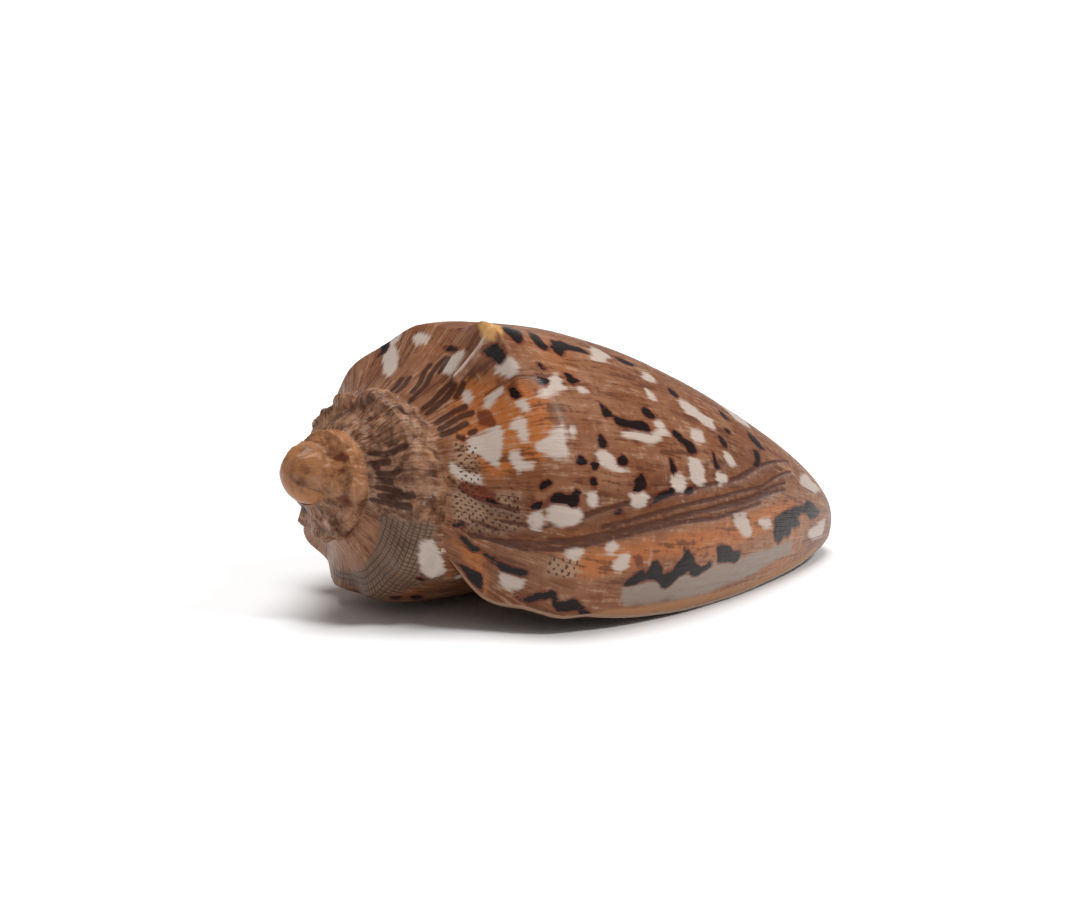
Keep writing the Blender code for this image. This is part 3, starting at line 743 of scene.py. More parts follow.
def draw_strip():
    """The whole skin unwound: spire, last whorl, dome, lip rim and inner space."""
    strip = Strip()
    n = COLUMNS_PER_TURN
    spire = np.concatenate([np.linspace(0.0, 1.0, RAMP_ROWS + 1), np.linspace(1.0, 2.0, BAND_ROWS + 1)[1:]])
    flank = 3.0 - np.linspace(1.0, 0.0, FLANK_ROWS + 1)[1:] ** FRONT_CROWDING
    courses = np.concatenate([spire, flank])
    band_row = len(spire) - 1
    spire_columns = int(round((-1.0 - FIRST_TURN) * n))
    turns = FIRST_TURN + np.arange(spire_columns + n + 1) / n
    across = distance_across(turns, courses)

    def outside(turn, course):
        """Strip points of a column, its shares of nodules and of fine relief, and its drawn turns."""
        drawn, r, z = drawn_section(turn, course)
        flat = np.stack([drawn, r / shoulder_radius(drawn), z / shoulder_height(drawn)], axis=-1)
        edge = smooth(course / SUTURE_FADE) * smooth((3.0 - course) / FRONT_FADE) * smooth(-turn / LIP_FADE)
        covered = np.where(turn < -1.0, smooth((2.0 - course) / COVER_FADE), 1.0)
        return flat, nodule_reach(drawn, course), edge * covered, drawn

    origin = outside(turns[:1], courses[:1])[0][0]
    born = strip.add(origin[None])[0]
    front_tip = strip.add(np.array([[FRONT_TIP_TURN, 0.0, 0.0]]))[0]
    numbers = np.zeros((len(turns), len(courses)), int)
    numbers[0, :] = born
    drawn_turns = np.zeros((len(turns), len(courses)))
    drawn_turns[0] = turns[0]
    for i in range(1, len(turns)):
        last_whorl = i >= spire_columns
        rows = courses if last_whorl else spire
        flat, reach, relief, drawn = outside(np.full(rows.shape, turns[i]), rows)
        drawn_turns[i, :len(rows)] = drawn
        first = 1 if i >= n else 0
        last = len(rows) - 1 if last_whorl else len(rows)
        part = slice(first, last)
        numbers[i, part] = strip.add(flat[part], reach[part], relief[part], across[i, part])
        if i >= n:
            numbers[i, 0] = numbers[i - n, band_row]
        if last_whorl:
            numbers[i, -1] = front_tip
    spire_part = (slice(0, spire_columns + 1), slice(0, band_row + 1))
    whorl_part = slice(spire_columns, None)
    strip.patch(numbers[spire_part], drawn_turns[spire_part], across[spire_part], OUTSIDE)
    strip.patch(numbers[whorl_part], drawn_turns[whorl_part], across[whorl_part], OUTSIDE)
    draw_dome(strip, numbers[:n, 0], turns[:n])
    rim_edge = draw_rim(strip, numbers[-1], courses, across[-1])
    draw_inside(strip, rim_edge, numbers[spire_columns][band_row:], courses, across[-1])
    return strip


def draw_dome(strip, ring, turns):
    """First whorl, a smooth dome inside the oldest turn."""
    flat = np.concatenate(strip.points)[ring]
    base = wound(turns, flat[:, 1] * shoulder_radius(flat[:, 0]), flat[:, 2] * shoulder_height(flat[:, 0]))
    rings = [ring]
    for k in range(1, DOME_RINGS + 1):
        angle = 0.5 * math.pi * k / (DOME_RINGS + 1)
        points = base * math.cos(angle)
        points[:, 2] = base[:, 2] + (SHELL_LENGTH - base[:, 2]) * math.sin(angle)
        rings.append(strip.add(unwound(points, turns)))
    top = strip.add(unwound(np.array([[0.0, 0.0, SHELL_LENGTH]]), np.array([FIRST_TURN])))
    rings.append(np.full(ring.shape, top[0]))
    numbers = np.stack(rings)
    around = np.concatenate([turns, turns[:1] + 1.0])
    inward = -np.arange(len(rings)) / len(rings)
    numbers = np.concatenate([numbers, numbers[:, :1]], axis=1)
    strip.patch(numbers, around, 2.0 * inward[:, None] + DOME_ACROSS, OUTSIDE)


def rim_thickness(courses):
    """Thickness of the lip, which tapers towards the suture and towards the front end."""
    taper = smooth(courses / RIM_SUTURE_TAPER) * smooth((3.0 - courses) / RIM_FRONT_TAPER)
    return RIM_THICKNESS * taper


def draw_rim(strip, lip, courses, across):
    """Rounded rim of the lip; returns the numbers of its inner edge."""
    thickness = rim_thickness(courses)
    lip_points = wound(*drawn_section(0.0 * courses, courses))
    inset = inner_points(0.0 * courses, courses, thickness)
    inset[0] = lip_points[0]
    inset[-1] = lip_points[-1]
    ahead = wound(*drawn_section(0.0 * courses + RIM_TURNS, courses)) - lip_points
    ahead /= np.linalg.norm(ahead, axis=1)[:, None] + 1e-9
    rows = [lip]
    for k in range(1, RIM_ROWS + 2):
        angle = math.pi * k / (RIM_ROWS + 1)
        share = 0.5 - 0.5 * math.cos(angle)
        points = lip_points * (1.0 - share) + inset * share
        points += ahead * (RIM_BULGE * math.sin(angle) * thickness)[:, None]
        row = lip.copy()
        row[1:-1] = strip.add(unwound(points[1:-1], 0.0))
        rows.append(row)
    strip.patch(np.stack(rows), np.linspace(0.0, RIM_TURNS, len(rows))[:, None], across, LIP_RIM)
    return rows[-1]


def draw_inside(strip, rim_edge, inner_line, courses, across):
    """Inner space, running back from the rim's inner edge and the older whorl's line beside it."""
    ring = np.concatenate([rim_edge, inner_line[-2:0:-1]])
    rings = [ring]
    inner_courses = courses[-len(inner_line):]
    ring_courses = np.concatenate([courses, inner_courses[-2:0:-1]])
    depths = np.linspace(0.0, CAVITY_TURNS, CAVITY_COLUMNS + 1)
    for depth in depths[1:]:
        back = smooth(depth / CAVITY_BLEND)
        thickness = rim_thickness(courses) * (1.0 - back) + WALL_THICKNESS * back
        outer = inner_points(np.full(courses.shape, depth), courses, thickness)
        inner = columella_points(np.full(inner_courses.shape, depth), inner_courses)
        outer[0] = 0.5 * (outer[0] + inner[0])
        outer[-1] = 0.5 * (outer[-1] + inner[-1])
        points = np.concatenate([outer, inner[-2:0:-1]])
        centre = points.mean(axis=0)
        closing = max(0.0, 1.0 - (CAVITY_TURNS - depth) * CAVITY_CLOSING_RATE)
        points = centre + (points - centre) * math.sqrt(1.0 - CAVITY_CLOSING_SHARE * closing * closing)
        rings.append(strip.add(unwound(points, -depth)))
    middle = points.mean(axis=0)
    deeper = math.atan2(middle[1], middle[0]) + 2.0 * math.pi * CAVITY_END_BULGE
    radius = math.hypot(middle[0], middle[1])
    end = np.array([[radius * math.cos(deeper), radius * math.sin(deeper), middle[2]]])
    rings.append(np.full(ring.shape, strip.add(unwound(end, -CAVITY_TURNS))[0]))
    tube = np.stack(rings)
    tube = np.concatenate([tube, tube[:, :1]], axis=1)
    around = np.append(ring_courses, ring_courses[0])
    tube_turns = -np.append(depths, CAVITY_TURNS + CAVITY_END_BULGE)
    strip.patch(tube, tube_turns[:, None], np.interp(around, courses, across), INSIDE)


class Formula:
    """A number in a node tree, so that a law is written in it as plain arithmetic."""

    def __init__(self, tree, value):
        self.tree = tree
        self.value = value

    def worked(self, operation, *others):
        node = add_node(self.tree, "ShaderNodeMath", dict(enumerate((self, *others))), operation=operation)
        return Formula(self.tree, node.outputs[0])

    def __add__(self, other):
        return self.worked("ADD", other)

    def __mul__(self, other):
        return self.worked("MULTIPLY", other)

    def __sub__(self, other):
        return self.worked("SUBTRACT", other)

    def __rsub__(self, other):
        return self.worked("MULTIPLY", -1.0).worked("ADD", other)

    def __truediv__(self, other):
        return self.worked("DIVIDE", other)

    __radd__ = __add__
    __rmul__ = __mul__

    def exp(self):
        return self.worked("EXPONENT")

    def bell(self):
        """Bell curve of this number: 1 at 0 and little beyond 2."""
        return (0.0 - self * self).exp()

    def greatest(self, other):
        return self.worked("MAXIMUM", other)

    def eased(self):
        """Smooth step of this number from 0 to 1."""
        held = self.greatest(0.0).worked("MINIMUM", 1.0)
        return held * held * (3.0 - 2.0 * held)


def socket_of(sockets, key):
    """A node's socket by its number, or by its identifier before its name."""
    by_identifier = {socket.identifier: socket for socket in sockets}
    return by_identifier[key] if key in by_identifier else sockets[key]


def add_node(tree, kind, inputs=(), **settings):
    """Node of a kind, with its settings, and its inputs given as formulas, outputs or plain values."""
    node = tree.nodes.new(kind)
    for name, setting in settings.items():
        setattr(node, name, setting)
    for key, term in dict(inputs).items():
        socket = socket_of(node.inputs, key)
        source = term.value if isinstance(term, Formula) else term
        if isinstance(source, bpy.types.NodeSocket):
            tree.links.new(source, socket)
        else:
            socket.default_value = source
    return node


def fill_group(tree, inputs):
    """Gives a node group named numbers for inputs: its tree, way in, way out and inputs as formulas."""
    for title, value in inputs.items():
        socket = tree.interface.new_socket(title, in_out="INPUT", socket_type="NodeSocketFloat")
        socket.default_value = value
    entry = tree.nodes.new("NodeGroupInput")
    leaving = tree.nodes.new("NodeGroupOutput")
    return tree, entry, leaving, {title: Formula(tree, entry.outputs[title]) for title in inputs}


def new_geometry_group(name, inputs):
    tree = bpy.data.node_groups.new(name, "GeometryNodeTree")
    for way in ("INPUT", "OUTPUT"):
        tree.interface.new_socket("Geometry", in_out=way, socket_type="NodeSocketGeometry")
    return fill_group(tree, inputs)


def new_shader_group(name, inputs, result):
    tree = bpy.data.node_groups.new(name, "ShaderNodeTree")
    tree.interface.new_socket(result, in_out="OUTPUT", socket_type="NodeSocketFloat")
    return fill_group(tree, inputs)


def join_numbers(tree, x, y, z):
    return add_node(tree, "ShaderNodeCombineXYZ", {0: x, 1: y, 2: z}).outputs[0]


def named_number(tree, name):
    node = add_node(tree, "GeometryNodeInputNamedAttribute", {"Name": name}, data_type="FLOAT")
    return Formula(tree, node.outputs["Attribute"])


def noise_at(tree, place, scale=1.0, detail=3.0, roughness=0.5, **more):
    """Noise about 0, from about -0.5 to 0.5."""
    inputs = {"Vector": place, "Scale": scale, "Detail": detail, "Roughness": roughness, **more}
    dimensions = "4D" if "W" in more else "3D"
    node = add_node(tree, "ShaderNodeTexNoise", inputs, noise_dimensions=dimensions)
    return Formula(tree, node.outputs[0]) - 0.5


def push_out(tree, geometry, distance):
    """The geometry with its surface moved out along its normals."""
    normal = add_node(tree, "GeometryNodeInputNormal").outputs[0]
    offset = add_node(tree, "ShaderNodeVectorMath", {0: normal, "Scale": distance}, operation="SCALE")
    moved = add_node(tree, "GeometryNodeSetPosition", {"Geometry": geometry, "Offset": offset.outputs[0]})
    return moved.outputs[0]


def finished(tree, geometry, finishes):
    """Realizes the geometry and gives each of its parts its finish, by number."""
    last = add_node(tree, "GeometryNodeRealizeInstances", {"Geometry": geometry}).outputs[0]
    part = add_node(tree, "GeometryNodeInputMaterialIndex").outputs[0]
    for number, finish in enumerate(finishes):
        same = add_node(tree, "FunctionNodeCompare", data_type="INT", operation="EQUAL")
        tree.links.new(part, socket_of(same.inputs, "A_INT"))
        socket_of(same.inputs, "B_INT").default_value = number
        chosen = {"Geometry": last, "Selection": same.outputs[0], "Material": finish}
        last = add_node(tree, "GeometryNodeSetMaterial", chosen).outputs[0]
    return last


def nodule_row(turn, inputs):
    """Height of the nodule row at a turn: the counted ones of the last whorl, then the spire's rhythm."""
    def hump(centre, height):
        return ((turn - centre) / inputs["Nodule Width"]).bell() * height

    row = hump(*NODULES[0])
    for centre, height in NODULES[1:]:
        row = row.greatest(hump(centre, height))
    step = inputs["Spire Nodule Step"]
    first = step * -SPIRE_NODULE_PHASE - 1.0
    count = ((first - turn) / step).worked("ROUND").greatest(0.0)
    row = row.greatest(hump(first - count * step, inputs["Spire Nodule Height"]))
    return row * ((turn - inputs["Nodule Fade Turn"]) / NODULE_FADE).eased()


def winding_tree(finishes):
    """Node tree that winds the flat strip into the shell and raises its nodules and growth lines."""
    tree, entry, leaving, inputs = new_geometry_group("volute winding", WINDING_INPUTS)
    place = add_node(tree, "GeometryNodeInputPosition").outputs[0]
    parts = add_node(tree, "ShaderNodeSeparateXYZ", {0: place})
    turn, radius, height = [Formula(tree, output) for output in parts.outputs]

    size = (turn * inputs["Radius Growth"]).exp() * inputs["Lip Radius"]
    level = inputs["Pole Height"] - (turn * inputs["Depth Growth"]).exp() * inputs["Lip Depth"]
    rise = size * inputs["Nodule Rise"] * nodule_row(turn, inputs) * named_number(tree, "reach")
    out = radius * size + rise
    up = height * level + rise * NODULE_LIFT
    angle = turn * (-2.0 * math.pi)
    coiled = join_numbers(tree, out * angle.worked("COSINE"), out * angle.worked("SINE"), up)
    kept = {"Geometry": entry.outputs["Geometry"], "Name": "turn", "Value": turn}
    keep = add_node(tree, "GeometryNodeStoreNamedAttribute", kept, data_type="FLOAT", domain="POINT")
    wind = add_node(tree, "GeometryNodeSetPosition", {"Geometry": keep.outputs[0], "Position": coiled})

    along = named_number(tree, "turn") * inputs["Growth Lines per Turn"]
    sideways = named_number(tree, "across") * inputs["Growth Line Breaks"]
    lines = noise_at(tree, join_numbers(tree, along, sideways, 0.0), detail=2.0, W=inputs["Seed"])
    line_height = lines * 2.0 * inputs["Growth Line Height"] * named_number(tree, "relief")
    raised = push_out(tree, wind.outputs[0], line_height)
    tree.links.new(finished(tree, raised, finishes), leaving.inputs[0])
    return tree


def relief_tree(finishes):
    """Node tree that raises the growth rests, the dark blotches and the crest, and roughens the spire."""
    tree, entry, leaving, inputs = new_geometry_group("growth rests", RELIEF_INPUTS)
    ridge = (named_number(tree, "rests") / inputs["Ridge Width"]).bell() * inputs["Ridge Height"]
    pad = (named_number(tree, "dark") * 1.5 + 0.5).eased() * inputs["Blotch Height"]
    crest = (named_number(tree, "crest") / inputs["Crest Width"]).bell() * inputs["Crest Height"]
    own_place = add_node(tree, "GeometryNodeInputPosition").outputs[0]
    shift = join_numbers(tree, inputs["Seed"], 0.0, 0.0)
    place = add_node(tree, "ShaderNodeVectorMath", {0: own_place, 1: shift}).outputs[0]
    turn = named_number(tree, "turn")
    on_spire = ((ROUGH_TURN - turn) / 0.1).eased() * ((turn - ROUGH_END_TURN) / 0.7).eased()
    rough = noise_at(tree, place, inputs["Grain Scale"]) * on_spire * inputs["Spire Roughness"] * 2.0
    raised = push_out(tree, entry.outputs["Geometry"], ridge + pad + crest + rough)
    tree.links.new(finished(tree, raised, finishes), leaving.inputs[0])
    return tree


def run_tree(shape, tree, values):
    """The plain mesh that a node tree makes of an object, with its inputs set to the named values."""
    modifier = shape.modifiers.new(tree.name, "NODES")
    modifier.node_group = tree
    sockets = {item.name: item.identifier for item in tree.interface.items_tree if item.in_out == "INPUT"}
    for name, value in values.items():
        modifier[sockets[name]] = value
    ready = shape.evaluated_get(bpy.context.evaluated_depsgraph_get())
    data = bpy.data.meshes.new_from_object(ready)
    shape.modifiers.remove(modifier)
    return data


def points_of(data):
    points = np.empty(len(data.vertices) * 3, np.float32)
    data.vertices.foreach_get("co", points)
    return points.reshape(-1, 3)


def place_points(data, points):
    data.vertices.foreach_set("co", points.astype(np.float32).reshape(-1))
    data.update()


def numbers_of(data, name):
    values = np.empty(len(data.attributes[name].data), np.float32)
    data.attributes[name].data.foreach_get("value", values)
    return values.astype(float)


def keep_numbers(data, name, domain, values):
    kept = data.attributes.new(name, "FLOAT", domain)
    kept.data.foreach_set("value", values.astype(np.float32))


def add_to_scene(name, data):
    shape = bpy.data.objects.new(name, data)
    bpy.context.scene.collection.objects.link(shape)
    return shape


def settled(points):
    """The shell's axes laid down: apex towards -X, lip towards -Y, aperture underneath."""
    laid = np.stack([-points[..., 2], -points[..., 0], points[..., 1]], axis=-1)
    roll = Matrix.Rotation(math.radians(REST_ROLL), 3, "X")
    pitch = Matrix.Rotation(math.radians(REST_PITCH), 3, "Y")
    return laid @ np.array(pitch @ roll).T


def wind_shell(finishes):
    """The shell wound up by its tree, laid down and set where the CAD node is, and how far it was moved."""
    strip = draw_strip()
    flat = bpy.data.meshes.new("volute_strip")
    flat.from_pydata(np.concatenate(strip.points).tolist(), [], strip.faces)
    marks = np.concatenate(strip.marks)
    for column, name in enumerate(("reach", "relief", "across")):
        keep_numbers(flat, name, "POINT", marks[:, column])
    growth = np.concatenate(strip.growth)
    for column, name in enumerate(("growth_turn", "growth_across")):
        keep_numbers(flat, name, "CORNER", growth[:, column])
    for finish in finishes:
        flat.materials.append(finish)
    flat.polygons.foreach_set("material_index", strip.slots)
    flat.polygons.foreach_set("use_smooth", [True] * len(strip.faces))
    flat.update()

    strip_object = add_to_scene("volute_strip", flat)
    data = run_tree(strip_object, winding_tree(finishes), WINDING_INPUTS)
    bpy.data.objects.remove(strip_object)
    bpy.data.meshes.remove(flat)
    data.name = "shell"

    laid = settled(points_of(data).astype(float))
    low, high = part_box("volute_shell")
    move = (np.array(low) + np.array(high)) / 2.0 - (laid.min(axis=0) + laid.max(axis=0)) / 2.0
    move[2] = low[2] - laid[:, 2].min()
    place_points(data, laid + move)
    return add_to_scene("shell", data), move


def raise_rests(shell):
    """Puts the relief on the shell, keeps the result as its plain mesh and sets it on the ground."""
    flat = shell.data
    data = run_tree(shell, relief_tree(list(flat.materials)), RELIEF_INPUTS)
    points = points_of(data)
    points[:, 2] = np.maximum(points[:, 2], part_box("volute_shell")[0][2])
    place_points(data, points)
    shell.data = data
    bpy.data.meshes.remove(flat)
    data.name = "shell"


def look_from(move):
    """The photograph's camera: its place and axes in the resting frame, and its focal length in pixels."""
    azimuth, elevation, roll = np.radians((VIEW_AZIMUTH, VIEW_ELEVATION, VIEW_ROLL))
    level = math.cos(elevation)
    back = np.array([level * math.cos(azimuth), level * math.sin(azimuth), math.sin(elevation)])
    right = np.cross((0.0, 0.0, 1.0), back)
    right /= np.linalg.norm(right)
    up = np.cross(back, right)
    turned_right = math.cos(roll) * right + math.sin(roll) * up
    turned_up = math.cos(roll) * up - math.sin(roll) * right
    eye = np.array(VIEW_TARGET) + back * VIEW_DISTANCE
    axes = settled(np.stack([turned_right, turned_up, back]))
    return settled(eye) * MM + move, axes, PIXELS_PER_MM * VIEW_DISTANCE


def add_camera(eye, axes, focal):
    data = bpy.data.cameras.new("camera")
    data.sensor_fit = "HORIZONTAL"
    data.sensor_width = SENSOR_WIDTH
    data.lens = focal / IMAGE_WIDTH * SENSOR_WIDTH
    data.shift_x = (IMAGE_WIDTH / 2.0 - VIEW_CENTRE[0]) / IMAGE_WIDTH
    data.shift_y = (VIEW_CENTRE[1] - IMAGE_HEIGHT / 2.0) / IMAGE_WIDTH
    data.clip_start = 0.01
    data.clip_end = 20.0
    place = Matrix(axes).transposed().to_4x4()
    place.translation = Vector(eye)
    camera = add_to_scene("camera", data)
    camera.matrix_world = place
    bpy.context.scene.camera = camera


def add_floor():
    """Plain pale floor, large enough for every view."""
    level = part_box("volute_shell")[0].z
    data = bpy.data.meshes.new("floor")
    corners = [(x * FLOOR_REACH, y * FLOOR_REACH, level) for x, y in ((-1, -1), (1, -1), (1, 1), (-1, 1))]
    data.from_pydata(corners, [], [(0, 1, 2, 3)])
    finish = bpy.data.materials.new("floor")
    finish.use_nodes = True
    principled = finish.node_tree.nodes["Principled BSDF"]
    principled.inputs["Base Color"].default_value = FLOOR_WHITE
    principled.inputs["Roughness"].default_value = 0.9
    principled.inputs["Specular IOR Level"].default_value = 0.1
    data.materials.append(finish)
    add_to_scene("floor", data)


def light_scene():
    """Soft studio light: far lamps aimed at the shell, and a pale surround."""
    world = bpy.data.worlds.new("surround")
    world.use_nodes = True
    surround = world.node_tree.nodes["Background"]
    surround.inputs["Color"].default_value = (1.0, 1.0, 1.0, 1.0)
    surround.inputs["Strength"].default_value = SURROUND_STRENGTH
    bpy.context.scene.world = world
    for name, (place, spread, strength) in LAMPS.items():
        data = bpy.data.lights.new(name, "SUN")
        data.angle = spread
        data.energy = strength
        lamp = add_to_scene(name, data)
        lamp.location = place
        lamp.rotation_euler = (Vector(LAMP_TARGET) - Vector(place)).to_track_quat("-Z", "Y").to_euler()
    bpy.context.scene.view_settings.view_transform = "Standard"


class Sight:
    """Finds where on the shell, in growth coordinates, a pixel of the photograph falls."""

    def __init__(self, data, eye, axes, focal, move):
        self.data = data
        self.eye = Vector(eye)
        self.axes = axes
        self.focal = focal
        self.move = move
        turns = numbers_of(data, "growth_turn")
        self.growth = np.stack([turns, numbers_of(data, "growth_across")], axis=-1)
        points = [vertex.co.copy() for vertex in data.vertices]
        self.tree = BVHTree.FromPolygons(points, [polygon.vertices[:] for polygon in data.polygons])

    def at(self, x, y):
        """Turn, millimetres across and radius in millimetres seen at a pixel, or nothing."""
        across = self.axes[0] * (x - VIEW_CENTRE[0])
        upward = self.axes[1] * (VIEW_CENTRE[1] - y)
        ray = Vector(across + upward - self.axes[2] * self.focal)
        hit, _, face, _ = self.tree.ray_cast(self.eye, ray.normalized())
        if hit is None:
            return None
        polygon = self.data.polygons[face]
        shares = poly_3d_calc([self.data.vertices[v].co for v in polygon.vertices], hit)
        corners = self.growth[polygon.loop_start:polygon.loop_start + polygon.loop_total]
        return *(np.array(shares) @ corners), self.radius(hit)

    def radius(self, point):
        """Distance of a point from the coiling axis, in millimetres."""
        own = settled(np.eye(3)) @ ((np.array(point) - self.move) / MM)
        return math.hypot(own[0], own[1])

    def shows(self, point):
        """Whether the photograph's camera sees a point of the shell."""
        hit = self.tree.ray_cast(self.eye, (point - self.eye).normalized())[0]
        return hit is not None and (hit - point).length < SEEN_WITHIN

    def trace(self, pixels):
        """Places of an outline; a corner beyond the shell's edge is drawn in towards the middle."""
        middle = np.mean(pixels, axis=0)
        places = []
        for pixel in pixels:
            for share in (1.0, 0.85, 0.7, 0.5):
                x, y = middle + (np.array(pixel) - middle) * share
                place = self.at(x, y)
                if place is not None:
                    places.append(place)
                    break
        places = np.array(places)
        common = np.sort(places[:, 0])[len(places) // 2]
        return places[np.abs(places[:, 0] - common) < SAME_WHORL]


def depth_in(x, y, outline, closed):
    """Depth in millimetres inside a closed outline, negative outside; or minus the way to a line."""
    starts = outline if closed else outline[:-1]
    ends = np.roll(outline, -1, axis=0) if closed else outline[1:]
    nearest = np.full(x.shape, np.inf)
    inside = np.zeros(x.shape, bool)
    for (x0, y0), (x1, y1) in zip(starts, ends):
        dx = x1 - x0
        dy = y1 - y0
        share = np.clip(((x - x0) * dx + (y - y0) * dy) / (dx * dx + dy * dy + 1e-9), 0.0, 1.0)
        nearest = np.minimum(nearest, np.hypot(x - x0 - share * dx, y - y0 - share * dy))
        if closed and abs(dy) > 1e-9:
            crossed = ((y0 > y) != (y1 > y)) & (x < x0 + (y - y0) * dx / dy)
            inside ^= crossed
    return np.where(inside, nearest, -nearest)


class Marking:
    """One kind of mark on the shell: how deep each face corner lies in the nearest mark of the kind."""

    def __init__(self, growth):
        self.growth = growth
        self.depth = np.full(len(growth), -MARK_REACH)

    def draw(self, places, closed=True):
        """Adds a mark from its corners, given as turn, millimetres across and radius."""
        middle = places.mean(axis=0)
        around = 2.0 * math.pi * middle[2]
        outline = (places[:, :2] - middle[:2]) * (around, 1.0)
        x = (self.growth[:, 0] - middle[0]) * around
        y = self.growth[:, 1] - middle[1]
        low = outline.min(axis=0) - MARK_REACH
        high = outline.max(axis=0) + MARK_REACH
        near = (x > low[0]) & (x < high[0]) & (y > low[1]) & (y < high[1])
        depth = depth_in(x[near], y[near], outline, closed)
        self.depth[near] = np.maximum(self.depth[near], depth)


def scatter_marks(sight, markings):
    """Marks like the traced ones on the parts that the photograph doesn't show.

    Most are a dark zigzag with a pale tent on its lip side, the rest a dark or a pale one alone.
    """
    picker = np.random.default_rng(MARK_SEED)
    polygons = sight.data.polygons
    taken = []
    for number in picker.permutation(len(polygons))[:MARK_TRIES]:
        polygon = polygons[int(number)]
        turn, across = sight.growth[polygon.loop_start]
        marked = OLDEST_MARKED_TURN <= turn <= YOUNGEST_MARKED_TURN and across >= HIGHEST_MARK
        if polygon.material_index != OUTSIDE or not marked:
            continue
        radius = sight.radius(polygon.center)
        scale = min(1.0, radius / FULL_SIZE_RADIUS)
        spacing = MARK_SPACING * scale * picker.uniform(0.75, 1.25)
        place = np.array([turn * 2.0 * math.pi * max(radius, 4.0), across, 30.0 * math.floor(turn)])
        if any(np.linalg.norm(place - other) < spacing for other in taken):
            continue
        taken.append(place)
        if sight.shows(polygon.center):
            continue
        size = picker.uniform(0.5, 1.35) * scale
        steps = int(picker.integers(3, 8))
        along = np.sort(picker.uniform(-0.5, 0.5, steps)) * size * picker.uniform(3.0, 8.0)
        zigzag = picker.uniform(0.1, 1.2, steps) * np.where(np.arange(steps) % 2, 1.0, -1.0) * size
        zigzag += picker.uniform(-0.25, 0.25) * along
        thick = picker.uniform(0.25, 0.9, steps) * size
        lip_side = np.stack([zigzag + thick, along], axis=-1)
        old_side = np.stack([zigzag - thick, along], axis=-1)[::-1]
        peak = np.array([[picker.uniform(1.6, 4.6) * size, picker.uniform(-0.6, 0.6) * along[-1]]])
        flat_top = (0.0, picker.uniform(0.4, 1.6) * size)
        tent = np.concatenate([lip_side, peak + flat_top, peak - flat_top])
        outlines = [("dark", np.concatenate([lip_side, old_side])), ("pale", tent)]
        kind = picker.random()
        if kind < ALONE_SHARE:
            outlines = outlines[:1] if kind < DARK_ALONE_SHARE else outlines[1:]
        for name, outline in outlines:
            turns = turn + outline[:, 0] / (2.0 * math.pi * radius)
            radii = np.full(len(turns), radius)
            markings[name].draw(np.stack([turns, across + outline[:, 1], radii], axis=-1))


def mark_shell(data, sight):
    """Gives the shell its markings as attributes: the seen ones as traced, the rest scattered."""
    markings = {name: Marking(sight.growth) for name in (*OUTLINES, *LINES)}
    for table, closed in ((OUTLINES, True), (LINES, False)):
        for name, shapes in table.items():
            for pixels in shapes:
                markings[name].draw(sight.trace(pixels), closed)
    scatter_marks(sight, markings)
    for name, marking in markings.items():
        keep_numbers(data, name, "CORNER", np.clip(marking.depth, -MARK_REACH, MARK_REACH))


class Finish:
    """A material under way: its tree, its colour so far, and short ways to the masks that it uses."""

    def __init__(self, name, colour, striae_tree):
        self.material = bpy.data.materials.new(name)
        self.material.use_nodes = True
        self.tree = self.material.node_tree
        self.shader = self.tree.nodes["Principled BSDF"]
        self.colour = colour
        self.place = self.tree.nodes.new("ShaderNodeTexCoord").outputs["Object"]
        self.turn = self.number("growth_turn")
        self.across = self.number("growth_across")
        self.striae_tree = striae_tree

    def number(self, name):
        settings = {"attribute_type": "GEOMETRY", "attribute_name": name}
        return Formula(self.tree, add_node(self.tree, "ShaderNodeAttribute", **settings).outputs["Fac"])

    def noise(self, scale, detail=3.0, roughness=0.55):
        """Noise about 0, from about -1 to 1."""
        return noise_at(self.tree, self.place, scale, detail, roughness) * NOISE_SPREAD

    def group(self, tree, values):
        """A shared effect, with its inputs given by name."""
        return Formula(self.tree, add_node(self.tree, "ShaderNodeGroup", values, node_tree=tree).outputs[0])

    def striae(self, lines, breaks):
        """Growth striae with so many lines in a turn and breaks in a millimetre across."""
        values = {"Turn": self.turn, "Across": self.across, "Lines per Turn": lines, "Breaks per Mm": breaks}
        return self.group(self.striae_tree, values)

    def mix(self, under, over, share):
        """A colour over another one by a share from 0 to 1; each is plain or comes from a node."""
        under, over = [(*colour, 1.0) if isinstance(colour, tuple) else colour for colour in (under, over)]
        inputs = {"A_Color": under, "B_Color": over, "Factor_Float": share}
        node = add_node(self.tree, "ShaderNodeMix", inputs, data_type="RGBA")
        return socket_of(node.outputs, "Result_Color")

    def lay(self, colour, share):
        """Lays a colour over what there is so far."""
        self.colour = self.mix(self.colour, colour, share)

    def done(self, roughness, coat, coat_roughness):
        """The material with its colour and its gloss; a roughness may vary, a coat is the same all over."""
        self.tree.links.new(self.colour, self.shader.inputs["Base Color"])
        if isinstance(roughness, Formula):
            self.tree.links.new(roughness.value, self.shader.inputs["Roughness"])
        else:
            self.shader.inputs["Roughness"].default_value = roughness
        self.shader.inputs["Coat Weight"].default_value = coat
        self.shader.inputs["Coat Roughness"].default_value = coat_roughness
        return self.material


def striae_group():
    """Growth striae: fine lines along the lip, from about -1 to 1, by the turn and the way across."""
    values = {"Turn": 0.0, "Across": 0.0, "Lines per Turn": 300.0, "Breaks per Mm": 0.12}
    tree, _, leaving, inputs = new_shader_group("growth striae", values, "Striae")
    turn, across, lines, breaks = inputs.values()
    place = join_numbers(tree, turn * lines, across * breaks, 0.0)
    striae = noise_at(tree, place, roughness=0.6) * NOISE_SPREAD
    tree.links.new(striae.value, leaving.inputs[0])
    return tree


